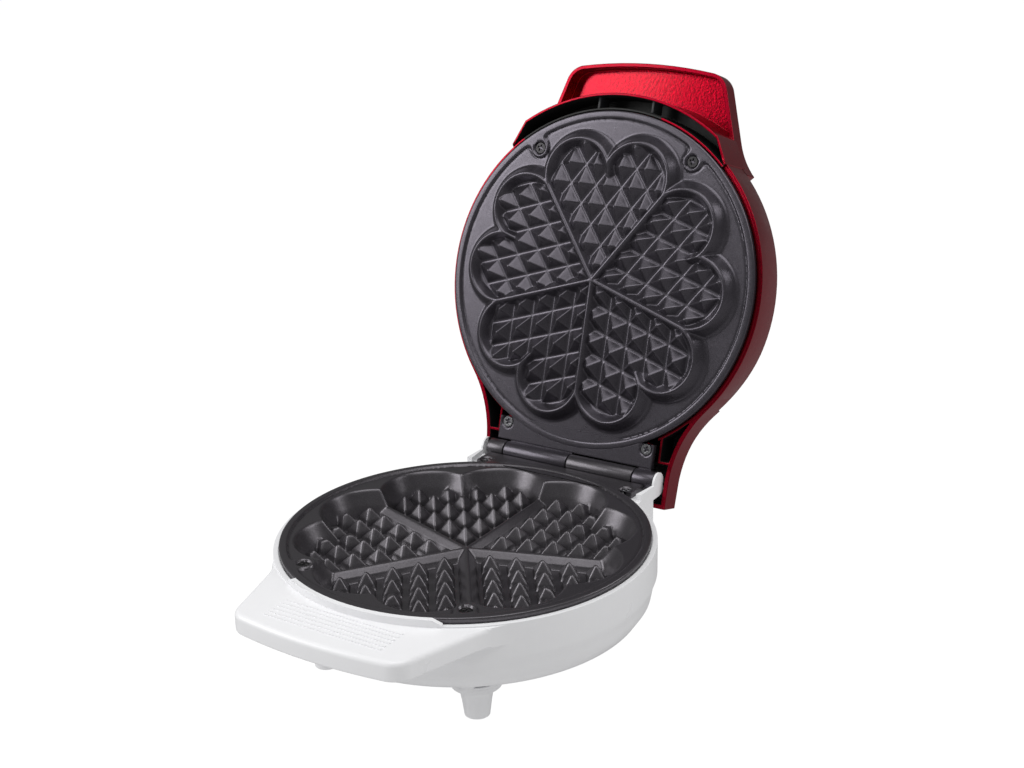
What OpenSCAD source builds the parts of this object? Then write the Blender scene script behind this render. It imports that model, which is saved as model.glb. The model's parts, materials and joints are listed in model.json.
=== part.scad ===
// Heart waffle maker: two cast plates on a shared hinge, a white base with feet and
// a red lid. Millimetres, +Z up, front grip towards -Y. The origin is on the surface
// that the feet stand on, below the centre of the lower plate.

/* [Overall] */
// Height of the lower plate's rim above the surface under the feet
rim_height = 61; // [56:0.5:75]
// How far the lid stands open from closed, in degrees
open_angle = 106.8; // [90:0.1:110]
// Gap between the two plate rims when closed
rim_gap = 0.8; // [0.4:0.1:2]
// Running clearance between parts that turn or slide in
fit_gap = 0.3; // [0.2:0.05:0.5]

/* [Plates] */
// Radius of both baking plates
plate_r = 95; // [92:0.5:98]
// Thickness of a plate's flange under its face
plate_t = 2.5; // [2.2:0.1:4]
// Height of the raised rim band over the face
rim_step = 1; // [0.5:0.1:1.5]
// Width of the raised rim band
rim_w = 4.4; // [3:0.1:5]
// Thickness of the casting under the pockets
pocket_wall = 3.2; // [2.5:0.1:4]

/* [Heart pattern] */
// Number of hearts in one waffle
heart_count = 5; // [5:1:5]
// Radius of the circle that carries the lobe centres
lobe_ring_r = 60.8; // [59:0.1:62]
// Angle between a heart's axis and each of its lobes
lobe_angle = 17.5; // [17:0.1:18]
// Pitch of the grid of small pyramids
cell_pitch = 12.95; // [11:0.05:14]
// Distance from a ridge to the first row of pyramid tips of the upper plate
first_row = 5.2; // [4.5:0.05:6]
// Width of the flat valley between the upper plate's pyramids
valley_w = 1.2; // [0.8:0.1:2]
// Width of the flat tip of a pyramid
tip_w = 0.7; // [0.5:0.1:1.2]
// Width of the flat top of a ridge between hearts
ridge_w = 1.3; // [1:0.1:2]
// Width of an upper plate's ridge at its foot
ridge_foot_w = 8; // [6:0.1:9]
// Height of the upper plate's pyramids over the valleys
pyramid_h = 5.4; // [4:0.1:6]

/* [Lower plate] */
// Depth of the ridge tops below the lower rim
lower_ridge_depth = 9.5; // [8:0.1:11]
// Depth of the pocket floor below the lower rim
lower_floor_depth = 15.5; // [14:0.1:17]
// Radius of a lower pocket lobe at the face
lower_lobe_top_r = 28; // [27:0.1:28.5]
// Radius of a lower pocket lobe at the floor
lower_lobe_floor_r = 17; // [16:0.1:18]
// Width of the flat valley between the lower plate's pyramids
lower_valley_w = 4.5; // [4:0.1:5]
// Depth below the lower rim at which its pyramids and ridges drop straight to the floor
lower_eave_depth = 12.9; // [12.5:0.1:13.5]
// Width of the lower plate's ridges at that depth
lower_ridge_foot_w = 7.8; // [7:0.1:8.5]
// Depth of the lower plate's pyramid tips below the lower rim
lower_tip_depth = 6.8; // [6.4:0.1:8]

/* [Upper plate] */
// Height of the upper heart outline over the upper rim
upper_outline_h = 6.25; // [5:0.05:7]
// Height of the upper pocket floor over the upper rim
upper_floor_h = 0.7; // [0.3:0.05:1]
// Radius of an upper heart lobe at its foot
upper_lobe_foot_r = 25; // [24:0.1:25.5]
// Radius of an upper heart lobe at its crest
upper_lobe_crest_r = 20.5; // [20:0.1:21]
// Width of the crest of the upper heart outline
crest_w = 1.9; // [1.7:0.1:2.4]
// Height of the upper ridges over the upper rim
upper_ridge_h = 6.1; // [5:0.05:6.2]

/* [Hinge] */
// Distance from the plate centre back to the hinge axis
hinge_y = 104.5; // [103:0.1:106]
// Outer diameter of the hinge barrel
barrel_d = 11; // [10:0.1:12]
// Diameter of the hinge pin
pin_d = 5; // [4:0.1:6]
// Half length of the hinge barrel
barrel_half = 53; // [50:0.5:54]
// Length of the short outer knuckles
short_knuckle = 11; // [9:0.5:13]
// Gap between neighbouring knuckles
knuckle_gap = 0.6; // [0.4:0.1:1]
// Half width of the tab that carries the knuckles
tab_half = 50; // [49:0.5:51]
// Radial thickness of the boss that closes each end of the barrel
ear_wall = 2.6; // [2:0.1:3.5]
// Length of that boss along the hinge
ear_len = 3.2; // [2.5:0.1:3.6]

/* [Screws] */
// Distance of the front plate screws from the centre line
front_screw_x = 48.3; // [47:0.1:50]
// Distance of the front plate screws in front of the plate centre
front_screw_y = 70.7; // [69:0.1:72]
// Distance of the rear plate screws from the centre line
rear_screw_x = 45.2; // [44:0.1:46]
// Distance of the rear plate screws behind the plate centre
rear_screw_y = 88.1; // [87:0.1:89]
// Shank diameter of a plate screw
screw_d = 3.6; // [3:0.1:4]
// Head diameter of a plate screw
screw_head_d = 6.4; // [6:0.1:7]
// Head height of a plate screw
screw_head_h = 2; // [1.6:0.1:2.2]
// Shank length of a plate screw
screw_len = 14; // [12:0.5:16]
// Outer diameter of a screw boss in the housings
boss_d = 7.6; // [7:0.1:8]

/* [Base housing] */
// Width of the housings' edge outside the plates
body_margin = 3; // [2.5:0.1:5]
// Wall of the housings
wall = 2.5; // [2:0.1:3]
// Depth of the base's upright band below the lower rim
band_depth = 20; // [18:0.5:22]
// Depth of the base's underside below the lower rim
base_depth = 44; // [42:0.5:46]
// How far the plate rim stands over the housing edge
rim_proud = 2.9; // [2.5:0.1:3.5]
// Reach of the base grip in front of the plate centre
base_grip_reach = 128; // [124:0.5:132]
// Depth of the base grip's top face below the lower rim
base_grip_drop = 3.5; // [3:0.1:5]
// Depth of the base grip's underside below the lower rim
base_grip_depth = 13.5; // [12:0.5:16]
// Height of the curved guard lip over the lower rim
lip_rise = 0.3; // [0:0.1:0.5]
// Half angle that the guard lip spans
lip_half_angle = 28; // [24:1:32]
// Number of fine ribs on the base grip
grip_rib_count = 6; // [4:1:7]
// Pitch of the fine ribs
grip_rib_pitch = 3.2; // [2.8:0.1:3.2]
// Height of the fine ribs
grip_rib_h = 0.4; // [0.3:0.1:0.8]

/* [Feet] */
// Distance of the front feet from the centre line
foot_x = 46; // [42:0.5:50]
// Distance of the rear feet from the centre line
rear_foot_x = 40; // [36:0.5:44]
// Distance of the front feet in front of the plate centre
front_foot_y = 61; // [56:0.5:64]
// Distance of the rear feet behind the plate centre
rear_foot_y = 84; // [80:0.5:86]
// Diameter of a foot at its tip
foot_tip_d = 12.4; // [11:0.1:14]
// Diameter of a foot at its root
foot_root_d = 18; // [17:0.1:20]
// Diameter of the pad let into a foot
pad_d = 9; // [8:0.1:10]
// Thickness of that pad
pad_t = 2; // [1.5:0.1:3]
// How far the pad stands out of the foot
pad_proud = 0.5; // [0.3:0.1:1]

/* [Lid housing] */
// Height of the lid's open edge behind the upper rim
lid_edge = 4; // [3.5:0.1:5]
// Height of the lid's upright wall top behind the upper rim
lid_wall_top = 25; // [22:0.5:28]
// Height of the lid's crown behind the upper rim
lid_crown = 40; // [38:0.5:44]
// Reach of the lid grip in front of the plate centre
lid_grip_reach = 125.5; // [124:0.5:127]
// Height of the grip's lower rim behind the upper rim
grip_edge = 25; // [22:0.5:27]
// Height of the grip's top behind the upper rim
grip_top = 36; // [35:0.5:37]
// Depth of the finger hollow in the grip
grip_hollow = 9; // [7:0.5:9.5]
// Wall round the finger hollow
grip_wall = 2.2; // [1.6:0.1:3]
// Half width of the lid's tail over the hinge
tail_half = 60; // [59.7:0.1:61]
// Reach of the tail behind the plate centre
tail_reach = 119.5; // [119:0.1:121]
// Height of the tail's rear end behind the upper rim
tail_top = 21; // [20:0.5:24]
// Radius of the curved crest in front of the upper plate
crest_r = 105; // [104:0.1:106]
// Half angle that the full crest spans
crest_half_angle = 35.5; // [33:0.5:37]
// Wall of the crest and of the pockets in the lid
pocket_rib = 1.4; // [1:0.1:2]

/* [Heating] */
// Diameter of a heating tube
tube_d = 6.6; // [6:0.1:7]
// Radius of the heating ring
heater_r = 58; // [54:0.5:60]
// Length of the cold pins at the heater ends
cold_pin = 9; // [8:0.5:10]
// Sheet thickness of the reflectors
sheet_t = 0.8; // [0.6:0.1:1]
// Radius of the reflectors
reflector_r = 78; // [74:0.5:79]
// Diameter of the thermostat can
thermostat_d = 16; // [14:0.5:17]
// Height of the thermostat can
thermostat_h = 9; // [8:0.5:10]
// Distance of the thermostat in front of the plate centre
thermostat_y = 26; // [24:0.5:30]

/* [Lamps and wiring] */
// Diameter of a signal lens
lens_d = 8; // [7:0.1:9]
// Distance of each lens from the centre line
lens_x = 14; // [12:0.5:18]
// Distance of the lenses in front of the plate centre
lens_y = 42; // [40:0.5:43]
// Diameter of a neon lamp
lamp_d = 5; // [4:0.1:5.5]
// Diameter of the cord hole in the bushing
cord_d = 7; // [6:0.1:8]
// Depth of the cord inlet's axis below the lower rim
inlet_depth = 31; // [30:0.5:33]
// Diameter of a sleeved lead
lead_d = 4; // [3.5:0.1:4.5]

/* [Hidden] */
$fn = 96;

// Overlap that joins solids of one casting, and reach of cuts past a face
bite = 0.5;
cut = 5;

half_heart = 180 / heart_count;
bore_d = pin_d + 2 * fit_gap / 2;
barrel_r = barrel_d / 2;
swing_r = barrel_r + 2 * fit_gap;
ear_r = barrel_r + ear_wall;
body_r = plate_r + body_margin;
lobe_mid_in = lobe_ring_r * cos(lobe_angle);
inner_gap_r = 2.2;

// Radius at which two lobes of one heart cross, for a lobe radius r
function cusp_r(r) = lobe_mid_in
    + sqrt(max(0, r * r - pow(lobe_ring_r * sin(lobe_angle), 2)));

// Radius of a lobe at depth z on a wall from (z1, r1) to (z2, r2)
function wall_r(z, z1, r1, z2, r2) = r1 + (r2 - r1) * (z - z1) / (z2 - z1);

function lower_lobe_r(z) =
    wall_r(z, -lower_floor_depth, lower_lobe_floor_r, -rim_step, lower_lobe_top_r);

screw_seat = rim_step + screw_head_h;
flange_back = rim_step + plate_t;
lower_back = lower_floor_depth + pocket_wall;

// ---------------------------------------------------------------- placing

module on_base() {
    translate([0, 0, rim_height]) children();
}

// The lid's parts are drawn closed, with z = 0 on the upper rim and z up
module on_lid() {
    translate([0, hinge_y, rim_height])
        rotate([-open_angle, 0, 0])
            translate([0, -hinge_y, rim_gap]) children();
}

// The upper plate is drawn face up and turned over into the lid
module face_down() {
    mirror([0, 0, 1]) children();
}

module at_both_sides(x, y) {
    for (side = [-1, 1]) translate([side * x, y, 0]) children();
}

// ---------------------------------------------------------------- plates

module lobes(z1, r1, z2, r2, c1, c2) {
    for (k = [0 : heart_count - 1], side = [-1, 1])
        rotate([0, 0, k * 2 * half_heart + side * lobe_angle])
            translate([0, -lobe_ring_r, z1])
                cylinder(h = z2 - z1, r1 = r1, r2 = r2);
    translate([0, 0, z1]) cylinder(h = z2 - z1, r1 = c1, r2 = c2);
}

// Ridges between the hearts: crest at z2, sides down to foot_w at z1, then straight to floor_z
module ridges(floor_z, z1, z2, foot_w, reach) {
    for (k = [0 : heart_count - 1])
        rotate([0, 0, (2 * k + 1) * half_heart])
            rotate([90, 0, 0])
                linear_extrude(height = reach)
                    polygon([[-foot_w / 2, floor_z - bite], [-foot_w / 2, z1],
                        [-ridge_w / 2, z2], [ridge_w / 2, z2],
                        [foot_w / 2, z1], [foot_w / 2, floor_z - bite]]);
}

// Meeting point of the lines that lie u from a heart's one ridge and v from the other
function cell_point(u, v) = [(v - u) / (2 * cos(half_heart)), -(u + v) / (2 * sin(half_heart))];

// Whether a point of the front heart lies within a lobe of radius r
function in_lobe(p, r) = min([for (side = [-1, 1])
    norm(p - lobe_ring_r * [side * sin(lobe_angle), -cos(lobe_angle)])]) < r
    || (norm(p) < lobe_mid_in);

// Corners of a rhombus of half-width h round the point (u, v)
function cell_corners(u, v, h) =
    [for (c = [[-1, -1], [1, -1], [1, 1], [-1, 1]]) cell_point(u + c[0] * h, v + c[1] * h)];

// One small pyramid: flat tip at z2, sides down to half-width half at z1, then straight down
module pyramid(u, v, floor_z, z1, z2, half) {
    polyhedron(
        points = concat([for (p = cell_corners(u, v, half)) [p[0], p[1], floor_z - bite]],
            [for (p = cell_corners(u, v, half)) [p[0], p[1], z1]],
            [for (p = cell_corners(u, v, tip_w / 2)) [p[0], p[1], z2]]),
        faces = [[0, 1, 2, 3], [11, 10, 9, 8],
            [0, 4, 5, 1], [1, 5, 6, 2], [2, 6, 7, 3], [3, 7, 4, 0],
            [4, 8, 9, 5], [5, 9, 10, 6], [6, 10, 11, 7], [7, 11, 8, 4]]);
}

// The pyramids of every heart: tips kept within tip_r of a lobe centre, feet within foot_r,
// and none on the cusp between two lobes
module pyramids(floor_z, z1, z2, first, valley, tip_r, foot_r) {
    half = (cell_pitch - valley) / 2;
    rows = floor(lobe_ring_r / cell_pitch) + 1;
    for (k = [0 : heart_count - 1])
        rotate([0, 0, k * 2 * half_heart])
            for (i = [0 : rows], j = [0 : rows]) {
                u = first + i * cell_pitch;
                v = first + j * cell_pitch;
                at = cell_point(u, v);
                outside = [for (p = cell_corners(u, v, half)) if (!in_lobe(p, foot_r)) 1];
                if (in_lobe(at, tip_r) && len(outside) == 0 && (i != j || norm(at) < lobe_mid_in))
                    pyramid(u, v, floor_z, z1, z2, half);
            }
}

// Flange with its raised rim band and, where back lies deeper, a round pan under it
module plate_blank(back, back_r) {
    pan = back > flange_back ? [[back_r, -flange_back],
        [back_r - (back - flange_back) * 0.55, -back]] : [];
    rotate_extrude($fn = 180) polygon(concat([[0, -rim_step], [plate_r - rim_w, -rim_step],
        [plate_r - rim_w, 0], [plate_r, 0], [plate_r, -flange_back]], pan, [[0, -back]]));
}

// The rim band widens round the front screws
module rim_ears() {
    intersection() {
        at_both_sides(front_screw_x, -front_screw_y)
            translate([0, 0, -flange_back]) cylinder(h = flange_back, r = screw_head_d / 2 + 2);
        translate([0, 0, -flange_back]) cylinder(h = flange_back, r = plate_r - bite);
    }
}

module hinge_tab() {
    translate([-tab_half, 60, -flange_back])
        cube([2 * tab_half, hinge_y - 60, plate_t]);
}

// x ranges of the knuckles of the lower plate; the upper plate has the others
function lower_knuckles() = [[-barrel_half, -barrel_half + short_knuckle - knuckle_gap / 2],
    [knuckle_gap / 2, barrel_half - short_knuckle - knuckle_gap / 2]];
function upper_knuckles() = [[-barrel_half + short_knuckle + knuckle_gap / 2, -knuckle_gap / 2],
    [barrel_half - short_knuckle + knuckle_gap / 2, barrel_half]];

module knuckle_run(ranges, r, grow) {
    for (run = ranges)
        translate([run[0] - grow, hinge_y, 0]) rotate([0, 90, 0])
            cylinder(h = run[1] - run[0] + 2 * grow, r = r);
}

module pin_bore(axis_z) {
    translate([-barrel_half - cut, hinge_y, axis_z]) rotate([0, 90, 0])
        cylinder(h = 2 * (barrel_half + cut), d = bore_d);
}

// Screw holes, and notches in the back that clear the housings' screw bosses
module plate_screw_holes(back) {
    for (at = [[front_screw_x, -front_screw_y], [rear_screw_x, rear_screw_y]])
        at_both_sides(at[0], at[1]) {
            translate([0, 0, -flange_back - cut])
                cylinder(h = flange_back + 2 * cut, d = screw_d + 2 * fit_gap);
            translate([0, 0, -screw_seat])
                cylinder(h = screw_seat + cut, d = screw_head_d + 2 * fit_gap);
        }
    if (back > flange_back) at_both_sides(front_screw_x, -front_screw_y)
        translate([0, 0, -back - cut])
            cylinder(h = back + cut - flange_back, d = boss_d + 2 * fit_gap);
}

pan_r = lobe_ring_r + lower_lobe_top_r + 0.5;
upper_back = flange_back;
lower_boss_z = lower_back + tube_d;
upper_boss_z = upper_back + tube_d;

module lower_plate() {
    color("#3d3c40") on_base() difference() {
        union() {
            difference() {
                union() {
                    plate_blank(lower_back, pan_r);
                    rim_ears();
                    hinge_tab();
                }
                difference() {
                    lobes(-lower_floor_depth - bite, lower_lobe_r(-lower_floor_depth - bite),
                        -rim_step + bite, lower_lobe_r(-rim_step + bite),
                        lobe_mid_in + 1, cusp_r(lower_lobe_top_r) - 3);
                    translate([0, 0, -lower_floor_depth - cut]) cylinder(h = cut, r = pan_r);
                }
            }
            ridges(-lower_floor_depth, -lower_eave_depth, -lower_ridge_depth,
                lower_ridge_foot_w, lobe_ring_r + 10);
            pyramids(-lower_floor_depth, -lower_eave_depth, -lower_tip_depth,
                first_row + cell_pitch / 2, lower_valley_w, lower_lobe_floor_r + 5,
                lower_lobe_top_r - 3);
            knuckle_run(lower_knuckles(), barrel_r, 0);
            translate([0, 0, -lower_boss_z]) cylinder(h = tube_d + bite, d = boss_d + 3);
        }
        knuckle_run(upper_knuckles(), swing_r, knuckle_gap);
        pin_bore(0);
        plate_screw_holes(lower_back);
        translate([0, 0, -lower_boss_z - cut]) cylinder(h = tube_d + cut, d = screw_d);
    }
}

module upper_plate() {
    crest_in = upper_lobe_crest_r - crest_w;
    color("#57545b") on_lid() face_down() difference() {
        union() {
            difference() {
                union() {
                    plate_blank(upper_back, plate_r - 8);
                    rim_ears();
                    hinge_tab();
                    lobes(-rim_step - bite, upper_lobe_foot_r, upper_outline_h, upper_lobe_crest_r,
                        lobe_mid_in - 1, lobe_mid_in - 1);
                }
                plan_block(upper_floor_h, upper_outline_h + bite) {
                    circle(r = lobe_mid_in - 2);
                    for (k = [0 : heart_count - 1], side = [-1, 1])
                        rotate([0, 0, k * 2 * half_heart + side * lobe_angle])
                            translate([0, -lobe_ring_r]) circle(r = crest_in);
                }
            }
            ridges(upper_floor_h, upper_floor_h, upper_ridge_h, ridge_foot_w, lobe_ring_r + 0.8);
            pyramids(upper_floor_h, upper_floor_h, upper_floor_h + pyramid_h, first_row, valley_w,
                upper_lobe_crest_r - 1, upper_lobe_foot_r - 1.5);
            translate([0, 0, rim_gap]) knuckle_run(upper_knuckles(), barrel_r, 0);
            translate([0, 0, -upper_boss_z]) cylinder(h = tube_d + bite, d = boss_d + 3);
        }
        translate([0, 0, rim_gap]) knuckle_run(lower_knuckles(), swing_r, knuckle_gap);
        pin_bore(rim_gap);
        plate_screw_holes(upper_back);
        translate([0, 0, -upper_boss_z - cut]) cylinder(h = tube_d + cut, d = screw_d);
        at_both_sides(thermostat_d / 2 + 5, -thermostat_y)
            translate([0, 0, -upper_back - cut]) cylinder(h = cut + 2.5, d = 3);
    }
}

// A cross-recess screw, head top at z = 0, shank down
module plate_screw() {
    slot_l = screw_head_d * 0.55;
    slot_w = 0.9;
    slot_d = 1.2;
    difference() {
        union() {
            translate([0, 0, -screw_head_h]) cylinder(h = screw_head_h, d = screw_head_d);
            translate([0, 0, -screw_head_h - screw_len])
                cylinder(h = screw_len + bite, d = screw_d);
        }
        for (turn = [0, 90]) rotate([0, 0, turn + 20])
            translate([-slot_l / 2, -slot_w / 2, -slot_d]) cube([slot_l, slot_w, slot_d + 1]);
    }
}

module front_screws() {
    at_both_sides(front_screw_x, -front_screw_y) translate([0, 0, -rim_step]) plate_screw();
}

module rear_screws() {
    at_both_sides(rear_screw_x, rear_screw_y) translate([0, 0, -rim_step]) plate_screw();
}

module lower_plate_front_screws() { color("#8a8a8e") on_base() front_screws(); }
module lower_plate_rear_screws() { color("#b5b5b8") on_base() rear_screws(); }
module upper_plate_front_screws() { color("#8a8a8e") on_lid() face_down() front_screws(); }
module upper_plate_rear_screws() { color("#b5b5b8") on_lid() face_down() rear_screws(); }

// ---------------------------------------------------------------- outlines

// The grip's plan: two corner circles, a bowed front and flared sides that blend
// into the round body. grow moves the whole outline out, or in when negative.
side_lean = 17.6;
grip_corner_r = 12;
grip_corner_x = 39.5;
grip_corner_in = 15;
grip_blend_r = 45;

function side_normal() = [cos(side_lean), -sin(side_lean)];
function side_dir() = [sin(side_lean), cos(side_lean)];
function corner_at(reach) = [grip_corner_x, -(reach - grip_corner_in)];
function side_start(reach) = corner_at(reach) + grip_corner_r * side_normal();
// How far along the side line its blend circle sits
function blend_along(reach) =
    let (p = side_start(reach) + grip_blend_r * side_normal(),
        b = p * side_dir(), c = p * p - pow(body_r + grip_blend_r, 2))
    -b - sqrt(b * b - c);
function blend_at(reach) = side_start(reach) + grip_blend_r * side_normal()
    + blend_along(reach) * side_dir();
// Radius of the bowed front edge, which touches both corner circles
function bow_r(reach) = let (k = corner_at(reach), d = reach - grip_corner_r)
    (pow(k[0], 2) + pow(k[1], 2) - d * d) / (2 * (k[1] + d)) + reach;

function arc(c, r, from, to, steps) = [for (i = [0 : steps])
    let (a = from + (to - from) * i / steps) c + r * [cos(a), sin(a)]];
function mirrored(points) = [for (i = [len(points) - 1 : -1 : 0]) [-points[i][0], points[i][1]]];

// Right half of the grip's plan, from the body forward to the bowed front edge
function grip_side(reach, grow) =
    let (c = blend_at(reach), k = corner_at(reach), bow_y = bow_r(reach) - reach,
        away = atan2(-c[1], -c[0]), bow_a = atan2(k[1] - bow_y, k[0]))
    concat([0.97 * body_r / norm(c) * c],
        arc(c, grip_blend_r - grow, away, 180 - side_lean, 8),
        arc(k, grip_corner_r + grow, -side_lean, bow_a, 12),
        [for (p = arc([0, bow_y], bow_r(reach) + grow, bow_a, -90, 5)) if (p[0] > 1
            && p[0] < k[0] - 1) p]);

module grip_outline(reach, grow) {
    half = grip_side(reach, grow);
    polygon(concat(half, [[0, -reach - grow]], mirrored(half), [[0, -body_r / 2]]));
}

// The tail's plan: concave sides from the round body to a square rear end
tail_blend_r = 70;
tail_blend_x = tail_half + tail_blend_r;
tail_blend_y = sqrt(pow(body_r + tail_blend_r, 2) - pow(tail_blend_x, 2));

function tail_side(grow) = concat(
    [0.97 * body_r / (body_r + tail_blend_r) * [tail_blend_x, tail_blend_y]],
    arc([tail_blend_x, tail_blend_y], tail_blend_r - grow,
        180 + atan2(tail_blend_y, tail_blend_x), 180, 12),
    [[tail_half + grow, tail_reach + grow]]);

module tail_outline(grow) {
    half = tail_side(grow);
    polygon(concat(half, mirrored(half), [[0, body_r / 2]]));
}

// ---------------------------------------------------------------- base

rear_half = tail_half - wall - 1;
rear_reach = hinge_y - swing_r;
ear_gap = barrel_half + fit_gap;

// Right half of the bowl's outer profile, radius against z below the rim
function bowl_profile(grow, top) = [[0, -base_depth - grow], [body_r - 28 + grow, -base_depth - grow],
    [body_r - 14 + grow, -base_depth + 2 - grow * 0.8],
    [body_r - 7 + grow * 0.9, -base_depth + 6 - grow * 0.5], [body_r - 3 + grow, -base_depth + 12],
    [body_r - 1.5 + grow, -band_depth - 4], [body_r + grow, -band_depth], [body_r + grow, top],
    [0, top]];

module bowl(grow, top) {
    rotate_extrude($fn = 180) polygon(bowl_profile(grow, top));
}

module plan_block(z1, z2) {
    translate([0, 0, z1]) linear_extrude(height = z2 - z1) children();
}

module rear_block(grow) {
    translate([-rear_half - grow, 0, -band_depth - grow])
        cube([2 * (rear_half + grow), rear_reach + grow, band_depth - flange_back + 2 * grow]);
}

module hinge_ears() {
    at_both_sides(ear_gap + ear_len / 2, hinge_y) {
        rotate([0, 90, 0]) cylinder(h = ear_len, r = ear_r, center = true);
        translate([-ear_len / 2, -hinge_y + rear_reach - 14, -ear_r])
            cube([ear_len, hinge_y - rear_reach + 14, ear_r]);
    }
}

module inlet_pad(grow) {
    pad_half = cord_d + 6;
    pad_bottom = inlet_depth + cord_d / 2 + 7;
    translate([-pad_half - grow, 60, -pad_bottom - grow])
        cube([2 * (pad_half + grow), rear_reach - 60 + grow, pad_bottom - band_depth + 1]);
}

module guard_lip() {
    lip_in = plate_r + fit_gap;
    rotate([0, 0, -90 - lip_half_angle])
        rotate_extrude(angle = 2 * lip_half_angle, $fn = 180)
            translate([lip_in, -rim_proud - 1])
                square([body_r - lip_in, rim_proud + 1 + lip_rise]);
}

module grip_ribs() {
    rib_half = 34;
    rib_w = 1.2;
    for (k = [0 : grip_rib_count - 1])
        translate([-rib_half, -body_r - 2.6 - k * grip_rib_pitch - rib_w / 2, -base_grip_drop - 0.5])
            cube([2 * rib_half, rib_w, 0.5 + grip_rib_h]);
}

module front_feet() {
    at_both_sides(foot_x, -front_foot_y) {
        translate([0, 0, pad_proud])
            cylinder(h = rim_height - base_depth + 5 - pad_proud, d1 = foot_tip_d, d2 = foot_root_d);
        translate([0, 0, rim_height - base_depth - 3])
            cylinder(h = 3 + wall, d1 = foot_root_d - 2, d2 = foot_root_d + 7);
    }
}

// The rear feet are longer and run up to the block behind the bowl
module rear_feet() {
    at_both_sides(rear_foot_x, rear_foot_y) translate([0, 0, pad_proud])
        cylinder(h = rim_height - band_depth - pad_proud, d1 = foot_tip_d, d2 = foot_root_d - 1);
}

module boss_pair(x, y, z1, z2) {
    at_both_sides(x, y) translate([0, 0, z1]) cylinder(h = z2 - z1, d = boss_d);
}

module boss_bores(z_top, depth, dir) {
    for (at = [[front_screw_x, -front_screw_y], [rear_screw_x, rear_screw_y]])
        at_both_sides(at[0], at[1])
            translate([0, 0, dir > 0 ? z_top : z_top - depth])
                cylinder(h = depth, d = screw_d);
}

module lower_housing() {
    top = -rim_proud;
    floor_in = -base_depth + wall;
    seat = -flange_back - fit_gap / 3;
    boss_drop = screw_len + 2;
    color("#f1f1f3") difference() {
        union() {
            on_base() {
                difference() {
                    union() {
                        bowl(0, top);
                        plan_block(-base_grip_depth, -base_grip_drop) grip_outline(base_grip_reach, 0);
                        rear_block(0);
                        inlet_pad(0);
                    }
                    intersection() {
                        union() {
                            bowl(-wall, cut);
                            rear_block(-wall);
                            inlet_pad(-wall);
                        }
                        translate([-200, -200, floor_in]) cube([400, 400, -seat + 60]);
                    }
                    difference() {
                        plan_block(-base_grip_depth - cut, -base_grip_drop - wall)
                            grip_outline(base_grip_reach, -wall);
                        translate([0, 0, -band_depth - 2 * cut])
                            cylinder(h = band_depth + 2 * cut, r = body_r, $fn = 180);
                    }
                    translate([0, 0, seat]) cylinder(h = cut + 5, r = plate_r + fit_gap, $fn = 180);
                    translate([-tab_half - fit_gap, 0, seat])
                        cube([2 * (tab_half + fit_gap), hinge_y, 20]);
                }
                difference() {
                    translate([0, 0, seat - 3]) cylinder(h = 3, r = body_r - wall + 0.2, $fn = 180);
                    translate([0, 0, seat - 3 - cut])
                        cylinder(h = 3 + 2 * cut, r = plate_r - rim_w / 2, $fn = 180);
                    translate([-200, 60, seat - 3 - cut]) cube([400, 200, 3 + 2 * cut]);
                }
                guard_lip();
                grip_ribs();
                hinge_ears();
                boss_pair(front_screw_x, -front_screw_y, floor_in - bite, seat);
                boss_pair(rear_screw_x, rear_screw_y, -band_depth, seat);
            }
            front_feet();
            rear_feet();
        }
        on_base() {
            boss_bores(seat, boss_drop, -1);
            translate([0, rear_reach - wall - cut, -inlet_depth]) rotate([-90, 0, 0])
                cylinder(h = wall + 2 * cut, d = cord_d + 5);
            knuckle_run(upper_knuckles(), swing_r, knuckle_gap);
            knuckle_run(lower_knuckles(), barrel_r + fit_gap, knuckle_gap);
        }
        at_both_sides(foot_x, -front_foot_y) pad_recess();
        at_both_sides(rear_foot_x, rear_foot_y) pad_recess();
    }
}

module pad_recess() {
    translate([0, 0, -cut]) cylinder(h = pad_t + cut, d = pad_d);
}

module foot_pads() {
    color("#303032") for (at = [[foot_x, -front_foot_y], [rear_foot_x, rear_foot_y]])
        at_both_sides(at[0], at[1]) cylinder(h = pad_t, d = pad_d);
}

module hinge_pin() {
    color("#c4c4c8") on_base() translate([-barrel_half, hinge_y, 0]) rotate([0, 90, 0])
        cylinder(h = 2 * barrel_half, d = pin_d);
}

module cord_bushing() {
    neck = cord_d + 5;
    flange = 1.6;
    color("#e6e6e8") on_base() translate([0, rear_reach, -inlet_depth]) rotate([-90, 0, 0])
        rotate_extrude() polygon([[cord_d / 2, -wall - flange], [neck / 2 + 1.5, -wall - flange],
            [neck / 2 + 1.5, -wall], [neck / 2, -wall], [neck / 2, 0], [neck / 2 + 2, 0],
            [neck / 2 + 2, flange], [neck / 2 + 0.8, flange + 1.6], [cord_d / 2, flange + 1.6]]);
}

// ---------------------------------------------------------------- heating

// A ring of tube, open towards the rear, with two cold pins that turn away from
// the plate; its top touches z = 0
module heating_tube() {
    rotate([0, 0, 90 + heater_open])
        rotate_extrude(angle = 360 - 2 * heater_open)
            translate([heater_r, -tube_d / 2]) circle(d = tube_d, $fn = 32);
    for (side = [-1, 1]) rotate([0, 0, side * heater_open])
        translate([0, heater_r, -tube_d / 2]) {
            translate([0, 0, -cold_pin])
                cylinder(h = cold_pin + tube_d / 2 - 0.1, d = tube_d + 0.4, $fn = 32);
            translate([0, 0, -cold_pin - 7]) cylinder(h = 7 + bite, d = tube_d / 2, $fn = 24);
        }
}

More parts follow.
